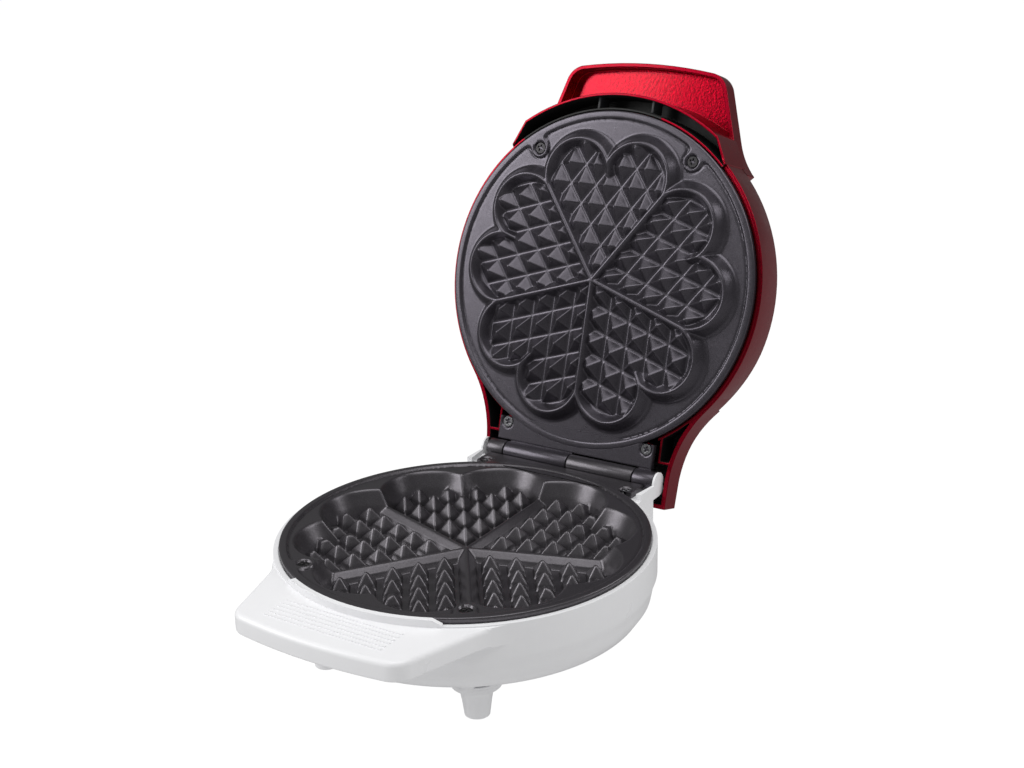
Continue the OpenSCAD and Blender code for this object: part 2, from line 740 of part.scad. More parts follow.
// Dished sheet that closes over the heating tube, its flat at z = 0 and rim up
module reflector(rise, with_thermostat) {
    difference() {
        rotate_extrude() polygon([[0, 0], [reflector_r - 10, 0], [reflector_r, rise],
            [reflector_r - sheet_t, rise + sheet_t / 2], [reflector_r - 10 - sheet_t, sheet_t],
            [0, sheet_t]]);
        translate([0, 0, -cut]) cylinder(h = 2 * cut, d = screw_d + 2 * fit_gap);
        for (side = [-1, 1]) rotate([0, 0, side * heater_open])
            translate([0, heater_r, -cut]) cylinder(h = 2 * cut, d = tube_d + 2);
        if (with_thermostat) {
            translate([0, -thermostat_y, -cut]) cylinder(h = 2 * cut, d = thermostat_d + 5);
            at_both_sides(thermostat_d / 2 + 5, -thermostat_y)
                translate([0, 0, -cut]) cylinder(h = 2 * cut, d = 12);
        }
    }
}

module short_screw(len) {
    cylinder(h = len, d = screw_d - 2 * fit_gap / 2);
    translate([0, 0, -screw_head_h]) cylinder(h = screw_head_h, d = screw_head_d + 1.5);
}

lower_tube_z = -lower_back - 0.1;
upper_tube_z = upper_back + 0.1;
clamp_gap = tube_d + 0.1;

module lower_heater() { color("#8f8a84") on_base() translate([0, 0, lower_tube_z]) heating_tube(); }
module lower_reflector() {
    color("#b9bcc0") on_base()
        translate([0, 0, -lower_back - clamp_gap - sheet_t]) reflector(4, false);
}
module lower_reflector_screw() {
    color("#a2a2a6") on_base()
        translate([0, 0, -lower_back - clamp_gap - sheet_t]) short_screw(tube_d);
}
module upper_heater() {
    color("#8f8a84") on_lid() translate([0, 0, upper_tube_z]) mirror([0, 0, 1]) heating_tube();
}
module upper_reflector() {
    color("#b9bcc0") on_lid()
        translate([0, 0, upper_back + clamp_gap + sheet_t]) mirror([0, 0, 1]) reflector(4, true);
}
module upper_reflector_screw() {
    color("#a2a2a6") on_lid()
        translate([0, 0, upper_back + clamp_gap + sheet_t]) mirror([0, 0, 1]) short_screw(tube_d);
}

tab_x = 4;
lead_z = upper_back + thermostat_h + 4.5;
hinge_wall_y = 95;

module thermostat() {
    color("#d8cdb8") on_lid() translate([0, -thermostat_y, upper_back + 0.1]) {
        cylinder(h = thermostat_h, d = thermostat_d - 1);
        translate([0, 0, thermostat_h]) for (side = [-1, 1])
            translate([side * tab_x - 0.4, -2.5, -bite]) cube([0.8, 5, 8]);
    }
}

module thermostat_bracket() {
    strap_w = thermostat_d + 3;
    ear_w = 9;
    ear = thermostat_d / 2 + 5;
    color("#b9bcc0") on_lid() translate([0, -thermostat_y, upper_back]) difference() {
        union() {
            translate([-thermostat_d / 2 - 1, -strap_w / 2, 2])
                cube([thermostat_d + 2, strap_w, 1.2]);
            for (side = [-1, 1]) {
                translate([side * ear - 4.5, -ear_w / 2, 0.1]) cube([9, ear_w, 1.2]);
                translate([side * (thermostat_d / 2 + 0.5) - 0.6, -ear_w / 2, 0.1])
                    cube([1.2, ear_w, 3.1]);
            }
        }
        translate([0, 0, -1]) cylinder(h = thermostat_h, d = thermostat_d - 1 + 0.2);
        at_both_sides(ear, 0) translate([0, 0, -1]) cylinder(h = 4, d = 3.2);
    }
}

module thermostat_screws() {
    color("#a2a2a6") on_lid() at_both_sides(thermostat_d / 2 + 5, -thermostat_y)
        translate([0, 0, upper_back + 1.3]) {
            cylinder(h = 1.8, d = 5.4);
            translate([0, 0, -3.6]) cylinder(h = 3.6 + bite, d = 2.8);
        }
}

// ---------------------------------------------------------------- base electrics

heater_open = 14;
pin_x = heater_r * sin(heater_open);
pin_y = heater_r * cos(heater_open);
block_l = 2 * pin_x + 12;
block_w = 14;
block_h = 12;
block_y = 28;
block_z = -base_depth + wall + 0.1;
block_hole = 5;

module terminal_block() {
    color("#e9e4d4") on_base() translate([0, block_y, block_z]) difference() {
        translate([-block_l / 2, -block_w / 2, 0]) cube([block_l, block_w, block_h]);
        for (k = [-1, 0, 1]) {
            translate([k * pin_x, 0, block_h - 5]) cylinder(h = 6, d = 4.6);
            translate([k * pin_x, -block_w, block_hole]) rotate([-90, 0, 0])
                cylinder(h = 2 * block_w, d = 3);
        }
    }
}

module terminal_screws() {
    color("#c9b26a") on_base() translate([0, block_y, block_z])
        for (k = [-1, 0, 1]) translate([k * pin_x, 0, block_h - 4.9]) difference() {
            cylinder(h = 4, d = 4.4);
            translate([-3, -0.4, 3]) cube([6, 0.8, 2]);
        }
}

fuse_y = -20;
fuse_r = 2.3;

module thermal_fuse() {
    color("#efece6") on_base()
        translate([-24, fuse_y, -lower_back - clamp_gap - sheet_t - fuse_r - 0.9])
            rotate([0, 90, 0]) cylinder(h = 24, r = fuse_r);
}

module fuse_clip() {
    z = -lower_back - clamp_gap - sheet_t;
    color("#b9bcc0") on_base() translate([-16, fuse_y, z - fuse_r - 0.9]) difference() {
        union() {
            rotate([0, 90, 0]) cylinder(h = 8, r = fuse_r + 0.8);
            translate([0, 0, fuse_r - 0.3]) cube([8, 9, 1.1]);
        }
        translate([-1, 0, 0]) rotate([0, 90, 0]) cylinder(h = 10, r = fuse_r + 0.1);
        translate([-1, -5, -5]) cube([10, 10, 4]);
    }
}

// Sleeved leads from the terminal block to the two heater pins
module base_leads() {
    start_y = block_y + block_w / 2 + 0.1;
    at_pin = tube_d / 4 + 0.2;
    color("#d8d4cc") on_base() at_both_sides(pin_x, start_y)
        translate([0, 0, block_z + block_hole]) rotate([-90, 0, 0])
            cylinder(h = pin_y - at_pin - start_y, d = lead_d, $fn = 24);
}

// ---------------------------------------------------------------- lid

// Right half of the crown's profile, radius against height over the upper rim
function crown_profile(grow) = [[0, lid_edge - 2 * cut * (grow < 0 ? 1 : 0)],
    [body_r + grow, lid_edge - 2 * cut * (grow < 0 ? 1 : 0)], [body_r + grow, lid_wall_top],
    [body_r - 2.5 + grow, lid_wall_top + 6 + grow * 0.3],
    [body_r - 8 + grow, lid_wall_top + 10.5 + grow * 0.7],
    [body_r - 22 + grow, lid_crown - 1.8 + grow], [body_r - 48, lid_crown + grow], [0, lid_crown + grow]];

module crown(grow) {
    rotate_extrude($fn = 180) polygon(crown_profile(grow));
}

// Keeps what lies under a plane that falls towards the tail's rear end
module under_tail_slope(grow) {
    drop = 9;
    rotate([90, 0, 90]) translate([0, 0, -150]) linear_extrude(height = 300)
        polygon([[0, -30], [200, -30], [tail_reach, tail_top + grow],
            [70, tail_top + drop + grow], [0, tail_top + drop + 8 + grow]]);
}

// Plan of the pocket between the plate and the curved crest
module crest_plan(grow) {
    end_angle = 43.5;
    q = (body_r + 0.4 + grow) * [sin(end_angle), -cos(end_angle)];
    a = crest_half_angle;
    polygon(concat([0.97 * q], [q], arc([0, 0], crest_r + grow, a - 90, -a - 90, 24),
        [[-q[0], q[1]]], [0.97 * [-q[0], q[1]]], [[0, -body_r / 2]]));
}

// Rear side pockets: plan of the walls beside the plate's tab
module tail_pocket_plan(grow) {
    inner = tab_half + 3.2;
    polygon([[inner - grow, 79 - grow / 2], [67 - grow, 69.5 - grow], [80, 60],
        [80, 93.5 + grow], [inner - grow, 93.5 + grow]]);
}

// Where the finger hollow ends beside the crest
hollow_end_y = 84;

module lid_housing() {
    inner_r = plate_r + fit_gap;
    top_in = lid_crown - wall;
    boss_top = lid_wall_top + 6;
    boss_drop = screw_len + 2;
    seat = flange_back + fit_gap / 3;
    well_floor = ear_r + 2 - rim_gap;
    color("#a8142a") on_lid() difference() {
        union() {
            difference() {
                union() {
                    crown(0);
                    plan_block(grip_edge, grip_top) grip_outline(lid_grip_reach, 0);
                    intersection() {
                        plan_block(lid_edge, lid_crown) tail_outline(0);
                        under_tail_slope(0);
                    }
                    plan_block(rim_step, grip_edge + 2) crest_plan(0);
                }
                crown(-wall);
                // finger hollow
                difference() {
                    plan_block(grip_edge - cut, grip_edge + grip_hollow) intersection() {
                        grip_outline(lid_grip_reach, -grip_wall);
                        translate([-100, -200]) square([200, 200 - hollow_end_y]);
                    }
                    plan_block(grip_edge - 2 * cut, grip_edge + 3 * cut) crest_plan(0);
                    translate([0, 0, grip_edge - 2 * cut])
                        cylinder(h = 6 * cut, r = body_r + bite, $fn = 180);
                }
                // pocket behind the crest
                difference() {
                    plan_block(-cut, grip_edge - 4) crest_plan(-pocket_rib);
                    translate([0, 0, -2 * cut])
                        cylinder(h = 60, r = inner_r + pocket_rib, $fn = 180);
                }
                // inside of the tail
                difference() {
                    intersection() {
                        plan_block(-cut, lid_crown) tail_outline(-wall);
                        under_tail_slope(-wall);
                    }
                    translate([-100, -200, -2 * cut]) cube([200, 270, 80]);
                }
                translate([0, 0, -2 * cut])
                    cylinder(h = 2 * cut + seat, r = inner_r, $fn = 180);
                translate([-tab_half - fit_gap, 0, -2 * cut])
                    cube([2 * (tab_half + fit_gap), tail_reach - wall, 2 * cut + seat]);
            }
            // ring wall round the plate
            difference() {
                translate([0, 0, lid_edge - 0.5])
                    cylinder(h = lid_wall_top - lid_edge + 2, r = inner_r + pocket_rib, $fn = 180);
                translate([0, 0, 0]) cylinder(h = lid_wall_top + 10, r = inner_r, $fn = 180);
                translate([-tab_half - fit_gap, 0, -cut]) cube([2 * (tab_half + fit_gap), 200, 80]);
            }
            // ledge that the plate's flange rests on
            difference() {
                translate([0, 0, seat]) cylinder(h = 3, r = inner_r + 0.2, $fn = 180);
                translate([0, 0, seat - 1]) cylinder(h = 5, r = plate_r - rim_w / 2, $fn = 180);
                translate([-200, 60, seat - 1]) cube([400, 200, 5]);
            }
            // walls of the rear side pockets
            intersection() {
                for (side = [0, 1]) mirror([side, 0, 0]) plan_block(lid_edge, lid_crown)
                    difference() {
                        tail_pocket_plan(pocket_rib);
                        tail_pocket_plan(0);
                    }
                plan_block(lid_edge, lid_crown) tail_outline(-wall / 2);
                under_tail_slope(-wall / 2);
            }
            // wall between the lid's inside and the hinge
            intersection() {
                translate([-tail_half + wall / 2, hinge_wall_y, well_floor])
                    cube([2 * tail_half - wall, pocket_rib, lid_crown]);
                under_tail_slope(-wall / 2);
            }
            intersection() {
                union() {
                    boss_pair(front_screw_x, -front_screw_y, seat, lid_crown);
                    boss_pair(rear_screw_x, rear_screw_y, seat, lid_crown);
                }
                union() {
                    crown(-wall / 2);
                    intersection() {
                        plan_block(lid_edge, lid_crown) tail_outline(-wall / 2);
                        under_tail_slope(-wall / 2);
                    }
                }
            }
        }
        boss_bores(seat, boss_drop, 1);
        at_both_sides(lens_x, -lens_y) translate([0, 0, lid_crown - 3 * wall])
            cylinder(h = 5 * wall, d = lens_d + fit_gap);
        at_both_sides(tab_x, hinge_wall_y - cut) translate([0, 0, lead_z]) rotate([-90, 0, 0])
            cylinder(h = 2 * cut + pocket_rib, d = lead_d + fit_gap);
    }
}

// Signal lens: a low dome over a snap-in neck with a flange inside the shell
module lens() {
    seat_z = lid_crown - wall;
    translate([0, 0, seat_z]) rotate_extrude() polygon([[0, -1.2], [lens_d / 2 + 1.4, -1.2],
        [lens_d / 2 + 1.4, -0.1], [lens_d / 2, -0.1], [lens_d / 2, wall + 0.2],
        [lens_d / 2 - 1.2, wall + 1], [0, wall + 1.3]]);
}

module power_lens() { color("#c81e1e") on_lid() translate([-lens_x, -lens_y, 0]) lens(); }
module ready_lens() { color("#2f9e3c") on_lid() translate([lens_x, -lens_y, 0]) lens(); }

lamp_z = lid_crown - wall - 1.2 - lamp_d / 2 - 0.6;
lamp_len = 12;

module lamp(x) {
    translate([x, -lens_y - lamp_len / 2, lamp_z]) rotate([-90, 0, 0]) {
        cylinder(h = lamp_len, d = lamp_d, $fn = 48);
        translate([-1.2, 0, lamp_len - bite]) cylinder(h = 5 + bite, d = 0.8, $fn = 24);
        translate([1.2, 0, lamp_len - bite]) cylinder(h = 5 + bite, d = 0.8, $fn = 24);
    }
}

module power_lamp() { color("#ff9a5a") on_lid() lamp(-lens_x); }
module ready_lamp() { color("#bfe8b0") on_lid() lamp(lens_x); }

module lamp_holder() {
    post_d = 6;
    base_z = lamp_z - lamp_d / 2 - 2;
    color("#ece8dc") on_lid() difference() {
        union() {
            translate([-lens_x - 7, -lens_y - 7, base_z]) cube([2 * lens_x + 14, 14, 4]);
            translate([0, -lens_y, base_z]) cylinder(h = lid_crown - wall - 0.1 - base_z, d = post_d);
        }
        for (side = [-1, 1]) translate([side * lens_x, -lens_y - 20, lamp_z]) rotate([-90, 0, 0])
            cylinder(h = 40, d = lamp_d + 0.2, $fn = 48);
    }
}

// Sleeved leads that run from the hinge wall to the thermostat's two tabs
module lid_leads() {
    color("#d8d4cc") on_lid() at_both_sides(tab_x, -thermostat_y + 2.5 + 0.2)
        translate([0, 0, lead_z]) rotate([-90, 0, 0])
            cylinder(h = thermostat_y + hinge_wall_y, d = lead_d, $fn = 24);
}

lower_housing();
foot_pads();
lower_plate();
lower_plate_front_screws();
lower_plate_rear_screws();
lower_heater();
lower_reflector();
lower_reflector_screw();
hinge_pin();
cord_bushing();
terminal_block();
terminal_screws();
thermal_fuse();
fuse_clip();
base_leads();
lid_housing();
upper_plate();
upper_plate_front_screws();
upper_plate_rear_screws();
upper_heater();
upper_reflector();
upper_reflector_screw();
thermostat();
thermostat_bracket();
thermostat_screws();
power_lens();
ready_lens();
power_lamp();
ready_lamp();
lamp_holder();
lid_leads();
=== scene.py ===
"""Heart waffle maker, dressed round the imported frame: plates, housings, hinge, screws, light and camera."""

import json
import logging
import math
from dataclasses import dataclass, field
from enum import Enum
from typing import Callable, Iterable, Sequence

import bmesh
import bpy
import numpy as np
from mathutils import Matrix, Vector
from mathutils.bvhtree import BVHTree

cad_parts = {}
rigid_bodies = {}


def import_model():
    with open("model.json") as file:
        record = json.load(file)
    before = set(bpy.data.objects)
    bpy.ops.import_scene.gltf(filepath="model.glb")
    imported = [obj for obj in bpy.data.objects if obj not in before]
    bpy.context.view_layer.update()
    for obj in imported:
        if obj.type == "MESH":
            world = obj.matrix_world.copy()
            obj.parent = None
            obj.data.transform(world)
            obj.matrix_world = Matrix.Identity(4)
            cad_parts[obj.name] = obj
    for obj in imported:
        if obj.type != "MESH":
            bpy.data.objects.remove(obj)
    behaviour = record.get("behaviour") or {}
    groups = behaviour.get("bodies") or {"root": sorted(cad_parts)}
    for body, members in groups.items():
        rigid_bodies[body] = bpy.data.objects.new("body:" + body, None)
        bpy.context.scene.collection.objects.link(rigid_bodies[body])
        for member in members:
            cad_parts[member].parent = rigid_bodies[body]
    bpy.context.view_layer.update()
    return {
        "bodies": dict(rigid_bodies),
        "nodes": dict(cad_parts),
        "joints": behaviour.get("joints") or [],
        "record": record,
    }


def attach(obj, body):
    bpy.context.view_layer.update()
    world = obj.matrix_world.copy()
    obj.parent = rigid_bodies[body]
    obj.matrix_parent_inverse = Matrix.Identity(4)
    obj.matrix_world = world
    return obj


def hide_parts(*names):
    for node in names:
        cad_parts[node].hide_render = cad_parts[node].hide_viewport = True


logging.basicConfig(level=logging.INFO, format="%(message)s")
LOG = logging.getLogger("waffle_maker")

MM = 0.001
WELD = 2e-6
ON_PLANE = 1e-6
Colour = tuple[float, float, float]
Field = np.ndarray
FRAME: dict = {}


class Body(Enum):
    """The two bodies that the hinge joins."""

    BASE = "base"
    LID = "lid"


@dataclass(frozen=True)
class Placing:
    """Where the drawings of each body lie, in millimetres.

    Base drawings have z = 0 on the lower rim. Lid drawings are made closed, with z = 0 on the
    upper rim and z up, and are turned about the hinge into the open rest pose.
    """

    rim_height: float = 61.0
    hinge_y: float = 104.5
    rim_gap: float = 0.8
    open_angle: float = 106.8

    def matrix(self, body: Body) -> Matrix:
        """Drawing to row frame.

        Args:
            body: the body that the drawing belongs to.

        Returns:
            The matrix from drawing millimetres to metres.
        """
        place = Matrix.Translation((0, 0, self.rim_height))
        if body is Body.LID:
            place = (
                Matrix.Translation((0, self.hinge_y, self.rim_height))
                @ Matrix.Rotation(math.radians(-self.open_angle), 4, "X")
                @ Matrix.Translation((0, -self.hinge_y, self.rim_gap))
            )
        return Matrix.Scale(MM, 4) @ place


PLACING = Placing()


# ---- finishes


class Nodes:
    """Short calls for building a material's node tree."""

    def __init__(self, material: bpy.types.Material) -> None:
        """Empties a material's node tree.

        Args:
            material: the material.
        """
        material.use_nodes = True
        self.tree = material.node_tree
        self.tree.nodes.clear()
        self.coordinates = self.add("ShaderNodeTexCoord")

    def add(self, kind: str, **values: object) -> bpy.types.Node:
        """Adds a node and sets its sockets or attributes.

        Args:
            kind: the node's type name.
            values: socket names (spaces as underscores) or attributes, with their values.

        Returns:
            The new node.
        """
        node = self.tree.nodes.new(kind)
        for key, value in values.items():
            if hasattr(node, key):
                setattr(node, key, value)
                continue
            socket = node.inputs[key.replace("_", " ")]
            if isinstance(value, bpy.types.NodeSocket):
                self.tree.links.new(value, socket)
            else:
                socket.default_value = value
        return node

    def noise(self, size: float, detail: float = 3.0, rough: float = 0.6) -> bpy.types.NodeSocket:
        """Noise over the object's coordinates.

        Args:
            size: size of a blotch in millimetres.
            detail: levels of finer noise.
            rough: weight of the finer noise.

        Returns:
            The noise value.
        """
        texture = self.add("ShaderNodeTexNoise", Vector=self.coordinates.outputs["Object"],
                           Scale=1.0 / (size * MM), Detail=detail, Roughness=rough)
        return texture.outputs[0]

    def spread(self, value: bpy.types.NodeSocket, low: float, high: float) -> bpy.types.NodeSocket:
        """Maps the middle of a noise to a range.

        Args:
            value: the noise.
            low: result at 0.3.
            high: result at 0.7.

        Returns:
            The mapped value.
        """
        mapped = self.add("ShaderNodeMapRange", Value=value, From_Min=0.3, From_Max=0.7,
                          To_Min=low, To_Max=high)
        return mapped.outputs[0]

    def mix(self, factor: bpy.types.NodeSocket, a: Colour, b: Colour) -> bpy.types.NodeSocket:
        """Blends two colours.

        Args:
            factor: share of the second colour.
            a: first colour.
            b: second colour.

        Returns:
            The blended colour.
        """
        node = self.add("ShaderNodeMix", data_type="RGBA")
        self.tree.links.new(factor, node.inputs[0])
        node.inputs[6].default_value = (*a, 1.0)
        node.inputs[7].default_value = (*b, 1.0)
        return node.outputs[2]


@dataclass(frozen=True)
class Finish:
    """A surface finish: colour, gloss, fine grain and faint blotches."""

    name: str
    colour: Colour
    rough: float
    metal: float = 0.0
    specular: float = 0.5
    coat: float = 0.0
    coat_rough: float = 0.08
    grain: float = 0.0
    grain_size: float = 0.6
    shade: float = 0.06
    shade_size: float = 1.0
    clear: float = 0.0

    def colour_socket(self, nodes: Nodes) -> bpy.types.NodeSocket:
        """The finish's colour with its fleck.

        Args:
            nodes: the material's nodes.

        Returns:
            The colour.
        """
        low = tuple(c * (1 - self.shade) for c in self.colour)
        high = tuple(min(1.0, c * (1 + self.shade)) for c in self.colour)
        return nodes.mix(nodes.spread(nodes.noise(self.shade_size), 0.0, 1.0), low, high)

    def build(self) -> bpy.types.Material:
        """Makes the material.

        Returns:
            The material, with all its values set on the shader.
        """
        material = bpy.data.materials.new(self.name)
        nodes = Nodes(material)
        shader = nodes.add("ShaderNodeBsdfPrincipled", Base_Color=self.colour_socket(nodes),
                           Metallic=self.metal, Coat_Weight=self.coat,
                           Coat_Roughness=self.coat_rough, Specular_IOR_Level=self.specular,
                           Transmission_Weight=self.clear)
        rough = nodes.spread(nodes.noise(self.shade_size * 6), self.rough * 0.9, self.rough * 1.1)
        nodes.tree.links.new(rough, shader.inputs["Roughness"])
        if self.grain:
            bump = nodes.add("ShaderNodeBump", Height=nodes.noise(self.grain_size), Strength=1.0,
                             Distance=self.grain * MM)
            nodes.tree.links.new(bump.outputs[0], shader.inputs["Normal"])
        output = nodes.add("ShaderNodeOutputMaterial")
        nodes.tree.links.new(shader.outputs[0], output.inputs["Surface"])
        material.diffuse_color = (*self.colour, 1.0)
        return material


@dataclass(frozen=True)
class Lacquer(Finish):
    """A metallic lacquer: the colour sinks to a deeper one in faint flecks."""

    deep: Colour = (0.1, 0.0, 0.01)

    def colour_socket(self, nodes: Nodes) -> bpy.types.NodeSocket:
        """The lacquer's colour with metal flecks.

        Args:
            nodes: the material's nodes.

        Returns:
            The colour.
        """
        return nodes.mix(nodes.spread(nodes.noise(0.35, 1.0), 0.0, 1.0), self.deep, self.colour)


class Finishes:
    """All finishes, each built once."""

    LIST: tuple[Finish, ...] = (
        Finish("white_plastic", (0.87, 0.87, 0.885), 0.30, specular=0.5, grain=0.008, grain_size=8.0,
               shade=0.006, shade_size=6.0),
        Lacquer("red_metallic", (0.36, 0.004, 0.02), 0.30, metal=1.0, coat=0.12,
                coat_rough=0.05, deep=(0.22, 0.001, 0.01)),
        Lacquer("red_textured", (0.38, 0.0, 0.014), 0.20, metal=1.0, coat=0.3,
                coat_rough=0.12, grain=0.10, grain_size=1.5, deep=(0.3, 0.0, 0.01)),
        Finish("black_plastic", (0.006, 0.006, 0.006), 0.55, grain=0.01),
        # the crest ribs take this grey as a painted highlight on the black plastic of their pocket
        Finish("grey_plastic", (0.05, 0.05, 0.055), 0.45, grain=0.01),
        # painted light: one nonstick coating in two copies, the upper darker and the lower lighter, toned to
        # how each plate is lit, with the lamps' purplish reflection painted into both colours
        Finish("nonstick_upper", (0.10, 0.092, 0.108), 0.30, metal=0.8, specular=0.5,
               grain=0.012, grain_size=0.45, shade=0.25, shade_size=0.5),
        Finish("nonstick_lower", (0.115, 0.108, 0.118), 0.32, metal=0.8, specular=0.5,
               grain=0.012, grain_size=0.45, shade=0.25, shade_size=0.5),
        Finish("dark_screw", (0.05, 0.048, 0.05), 0.35, metal=0.9, shade=0.2),
        Finish("bright_screw", (0.26, 0.26, 0.27), 0.3, metal=1.0, shade=0.1),
        Finish("pin_steel", (0.5, 0.5, 0.51), 0.3, metal=1.0, shade=0.05),
        Finish("heater_tube", (0.17, 0.15, 0.13), 0.5, metal=0.9, shade=0.25, shade_size=4),
        Finish("sheet", (0.6, 0.61, 0.62), 0.35, metal=1.0, shade=0.06, shade_size=5),
        Finish("rubber", (0.02, 0.02, 0.02), 0.8, grain=0.02, shade=0.2),
        Finish("bushing", (0.78, 0.78, 0.78), 0.5, shade=0.03),
        Finish("ceramic", (0.72, 0.69, 0.6), 0.6, grain=0.02, shade=0.05),
        Finish("brass", (0.55, 0.4, 0.15), 0.35, metal=1.0, shade=0.1),
        Finish("sleeve", (0.62, 0.6, 0.52), 0.85, grain=0.08, grain_size=0.5, shade=0.15),
        Finish("red_lens", (0.6, 0.01, 0.008), 0.12, clear=0.6, shade=0.03),
        Finish("green_lens", (0.02, 0.4, 0.06), 0.12, clear=0.6, shade=0.03),
        Finish("lamp_glass", (0.9, 0.7, 0.5), 0.1, clear=0.8, shade=0.03),
    )

    def __init__(self) -> None:
        """Builds every finish."""
        self.made = {finish.name: finish.build() for finish in self.LIST}

    def __getitem__(self, name: str) -> bpy.types.Material:
        """The material of a finish.

        Args:
            name: the finish's name.

        Returns:
            The material.
        """
        return self.made[name]


# ---- pieces


@dataclass
class Assembly:
    """A sub-assembly of one body. Its pieces are drawn in millimetres in that body's drawing."""

    finishes: Finishes
    body: Body = Body.BASE

    def add(self, mesh: bmesh.types.BMesh, name: str, finish: str | Sequence[str], slot: str,
            stands_for: Sequence[str] = (), sharp: float = 35.0,
            matrix: Matrix | None = None) -> bpy.types.Object:
        """Turns a drawing into a finished object at the origin.

        Args:
            mesh: the drawing.
            name: name of the piece.
            finish: one finish, or several in the order of the faces' material numbers.
            slot: material slot of the record; not used.
            stands_for: CAD nodes that the piece replaces.
            sharp: edges over this angle, in degrees, stay sharp.
            matrix: drawing to row frame; by default the body's.

        Returns:
            The object.
        """
        bmesh.ops.transform(mesh, matrix=matrix or PLACING.matrix(self.body), verts=mesh.verts)
        bmesh.ops.recalc_face_normals(mesh, faces=mesh.faces)
        limit = math.radians(sharp)
        for face in mesh.faces:
            face.smooth = True
        for edge in mesh.edges:
            edge.smooth = len(edge.link_faces) == 2 and edge.calc_face_angle(0.0) < limit
        data = bpy.data.meshes.new(name)
        mesh.to_mesh(data)
        mesh.free()
        for one in [finish] if isinstance(finish, str) else finish:
            data.materials.append(self.finishes[one])
        piece = bpy.data.objects.new(name, data)
        bpy.context.scene.collection.objects.link(piece)
        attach(piece, self.body.value)
        if stands_for:
            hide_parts(*stands_for)
        LOG.info("%s: %d faces", name, len(data.polygons))
        return piece


def cylinder(mesh: bmesh.types.BMesh, radius: float, depth: float, place: Matrix,
             soft: float = 0.0, segments: int = 48) -> None:
    """Adds a cylinder about z, centred on the origin, with both rims rounded.

    Args:
        mesh: the drawing it is added to.
        radius: radius.
        depth: length along z.
        place: where it goes.
        soft: rounding of the rims.
        segments: number of sides.
    """
    made = bmesh.ops.create_cone(mesh, cap_ends=True, segments=segments, radius1=radius,
                                 radius2=radius, depth=depth)["verts"]
    if soft:
        rims = {e for v in made for e in v.link_edges if abs(e.verts[0].co.z - e.verts[1].co.z) < ON_PLANE}
        made = bmesh.ops.bevel(mesh, geom=list(rims), offset=soft, segments=3, profile=0.5,
                               affect="EDGES", material=-1)["verts"] + [v for v in made if v.is_valid]
    bmesh.ops.transform(mesh, matrix=place, verts=list(set(made)))


def block(mesh: bmesh.types.BMesh, low: Vector, high: Vector, soft: float = 0.0) -> None:
    """Adds a box between two corners, with its edges rounded.

    Args:
        mesh: the drawing it is added to.
        low: lowest corner.
        high: highest corner.
        soft: rounding of the edges.
    """
    size, middle = high - low, (high + low) / 2
    made = bmesh.ops.create_cube(mesh, size=1.0)["verts"]
    bmesh.ops.transform(mesh, verts=made,
                        matrix=Matrix.Translation(middle) @ Matrix.Diagonal((*size, 1.0)))
    if soft:
        edges = list({e for v in made for e in v.link_edges})
        bmesh.ops.bevel(mesh, geom=edges, offset=soft, segments=2, profile=0.5, affect="EDGES",
                        material=-1)


# ---- baking plates


def soft_max(a: Field, b: Field | float, k: float) -> Field:
    """Larger of two fields, rounded over a width k where they meet.

    Args:
        a: first field.
        b: second field.
        k: width of the rounding.

    Returns:
        The rounded larger field.
    """
    h = np.clip(0.5 + 0.5 * (a - b) / k, 0.0, 1.0)
    return b + (a - b) * h + k * h * (1.0 - h)


def soft_min(a: Field, b: Field | float, k: float) -> Field:
    """Smaller of two fields, rounded over a width k where they meet.

    Args:
        a: first field.
        b: second field.
        k: width of the rounding.

    Returns:
        The rounded smaller field.
    """
    return -soft_max(-a, -np.asarray(b, float), k)


def fade(value: Field, low: float, high: float) -> Field:
    """Smooth step from 0 at low to 1 at high.

    Args:
        value: the field.
        low: where the step starts.
        high: where it ends.

    Returns:
        The step.
    """
    t = np.clip((value - low) / (high - low), 0.0, 1.0)
    return t * t * (3.0 - 2.0 * t)


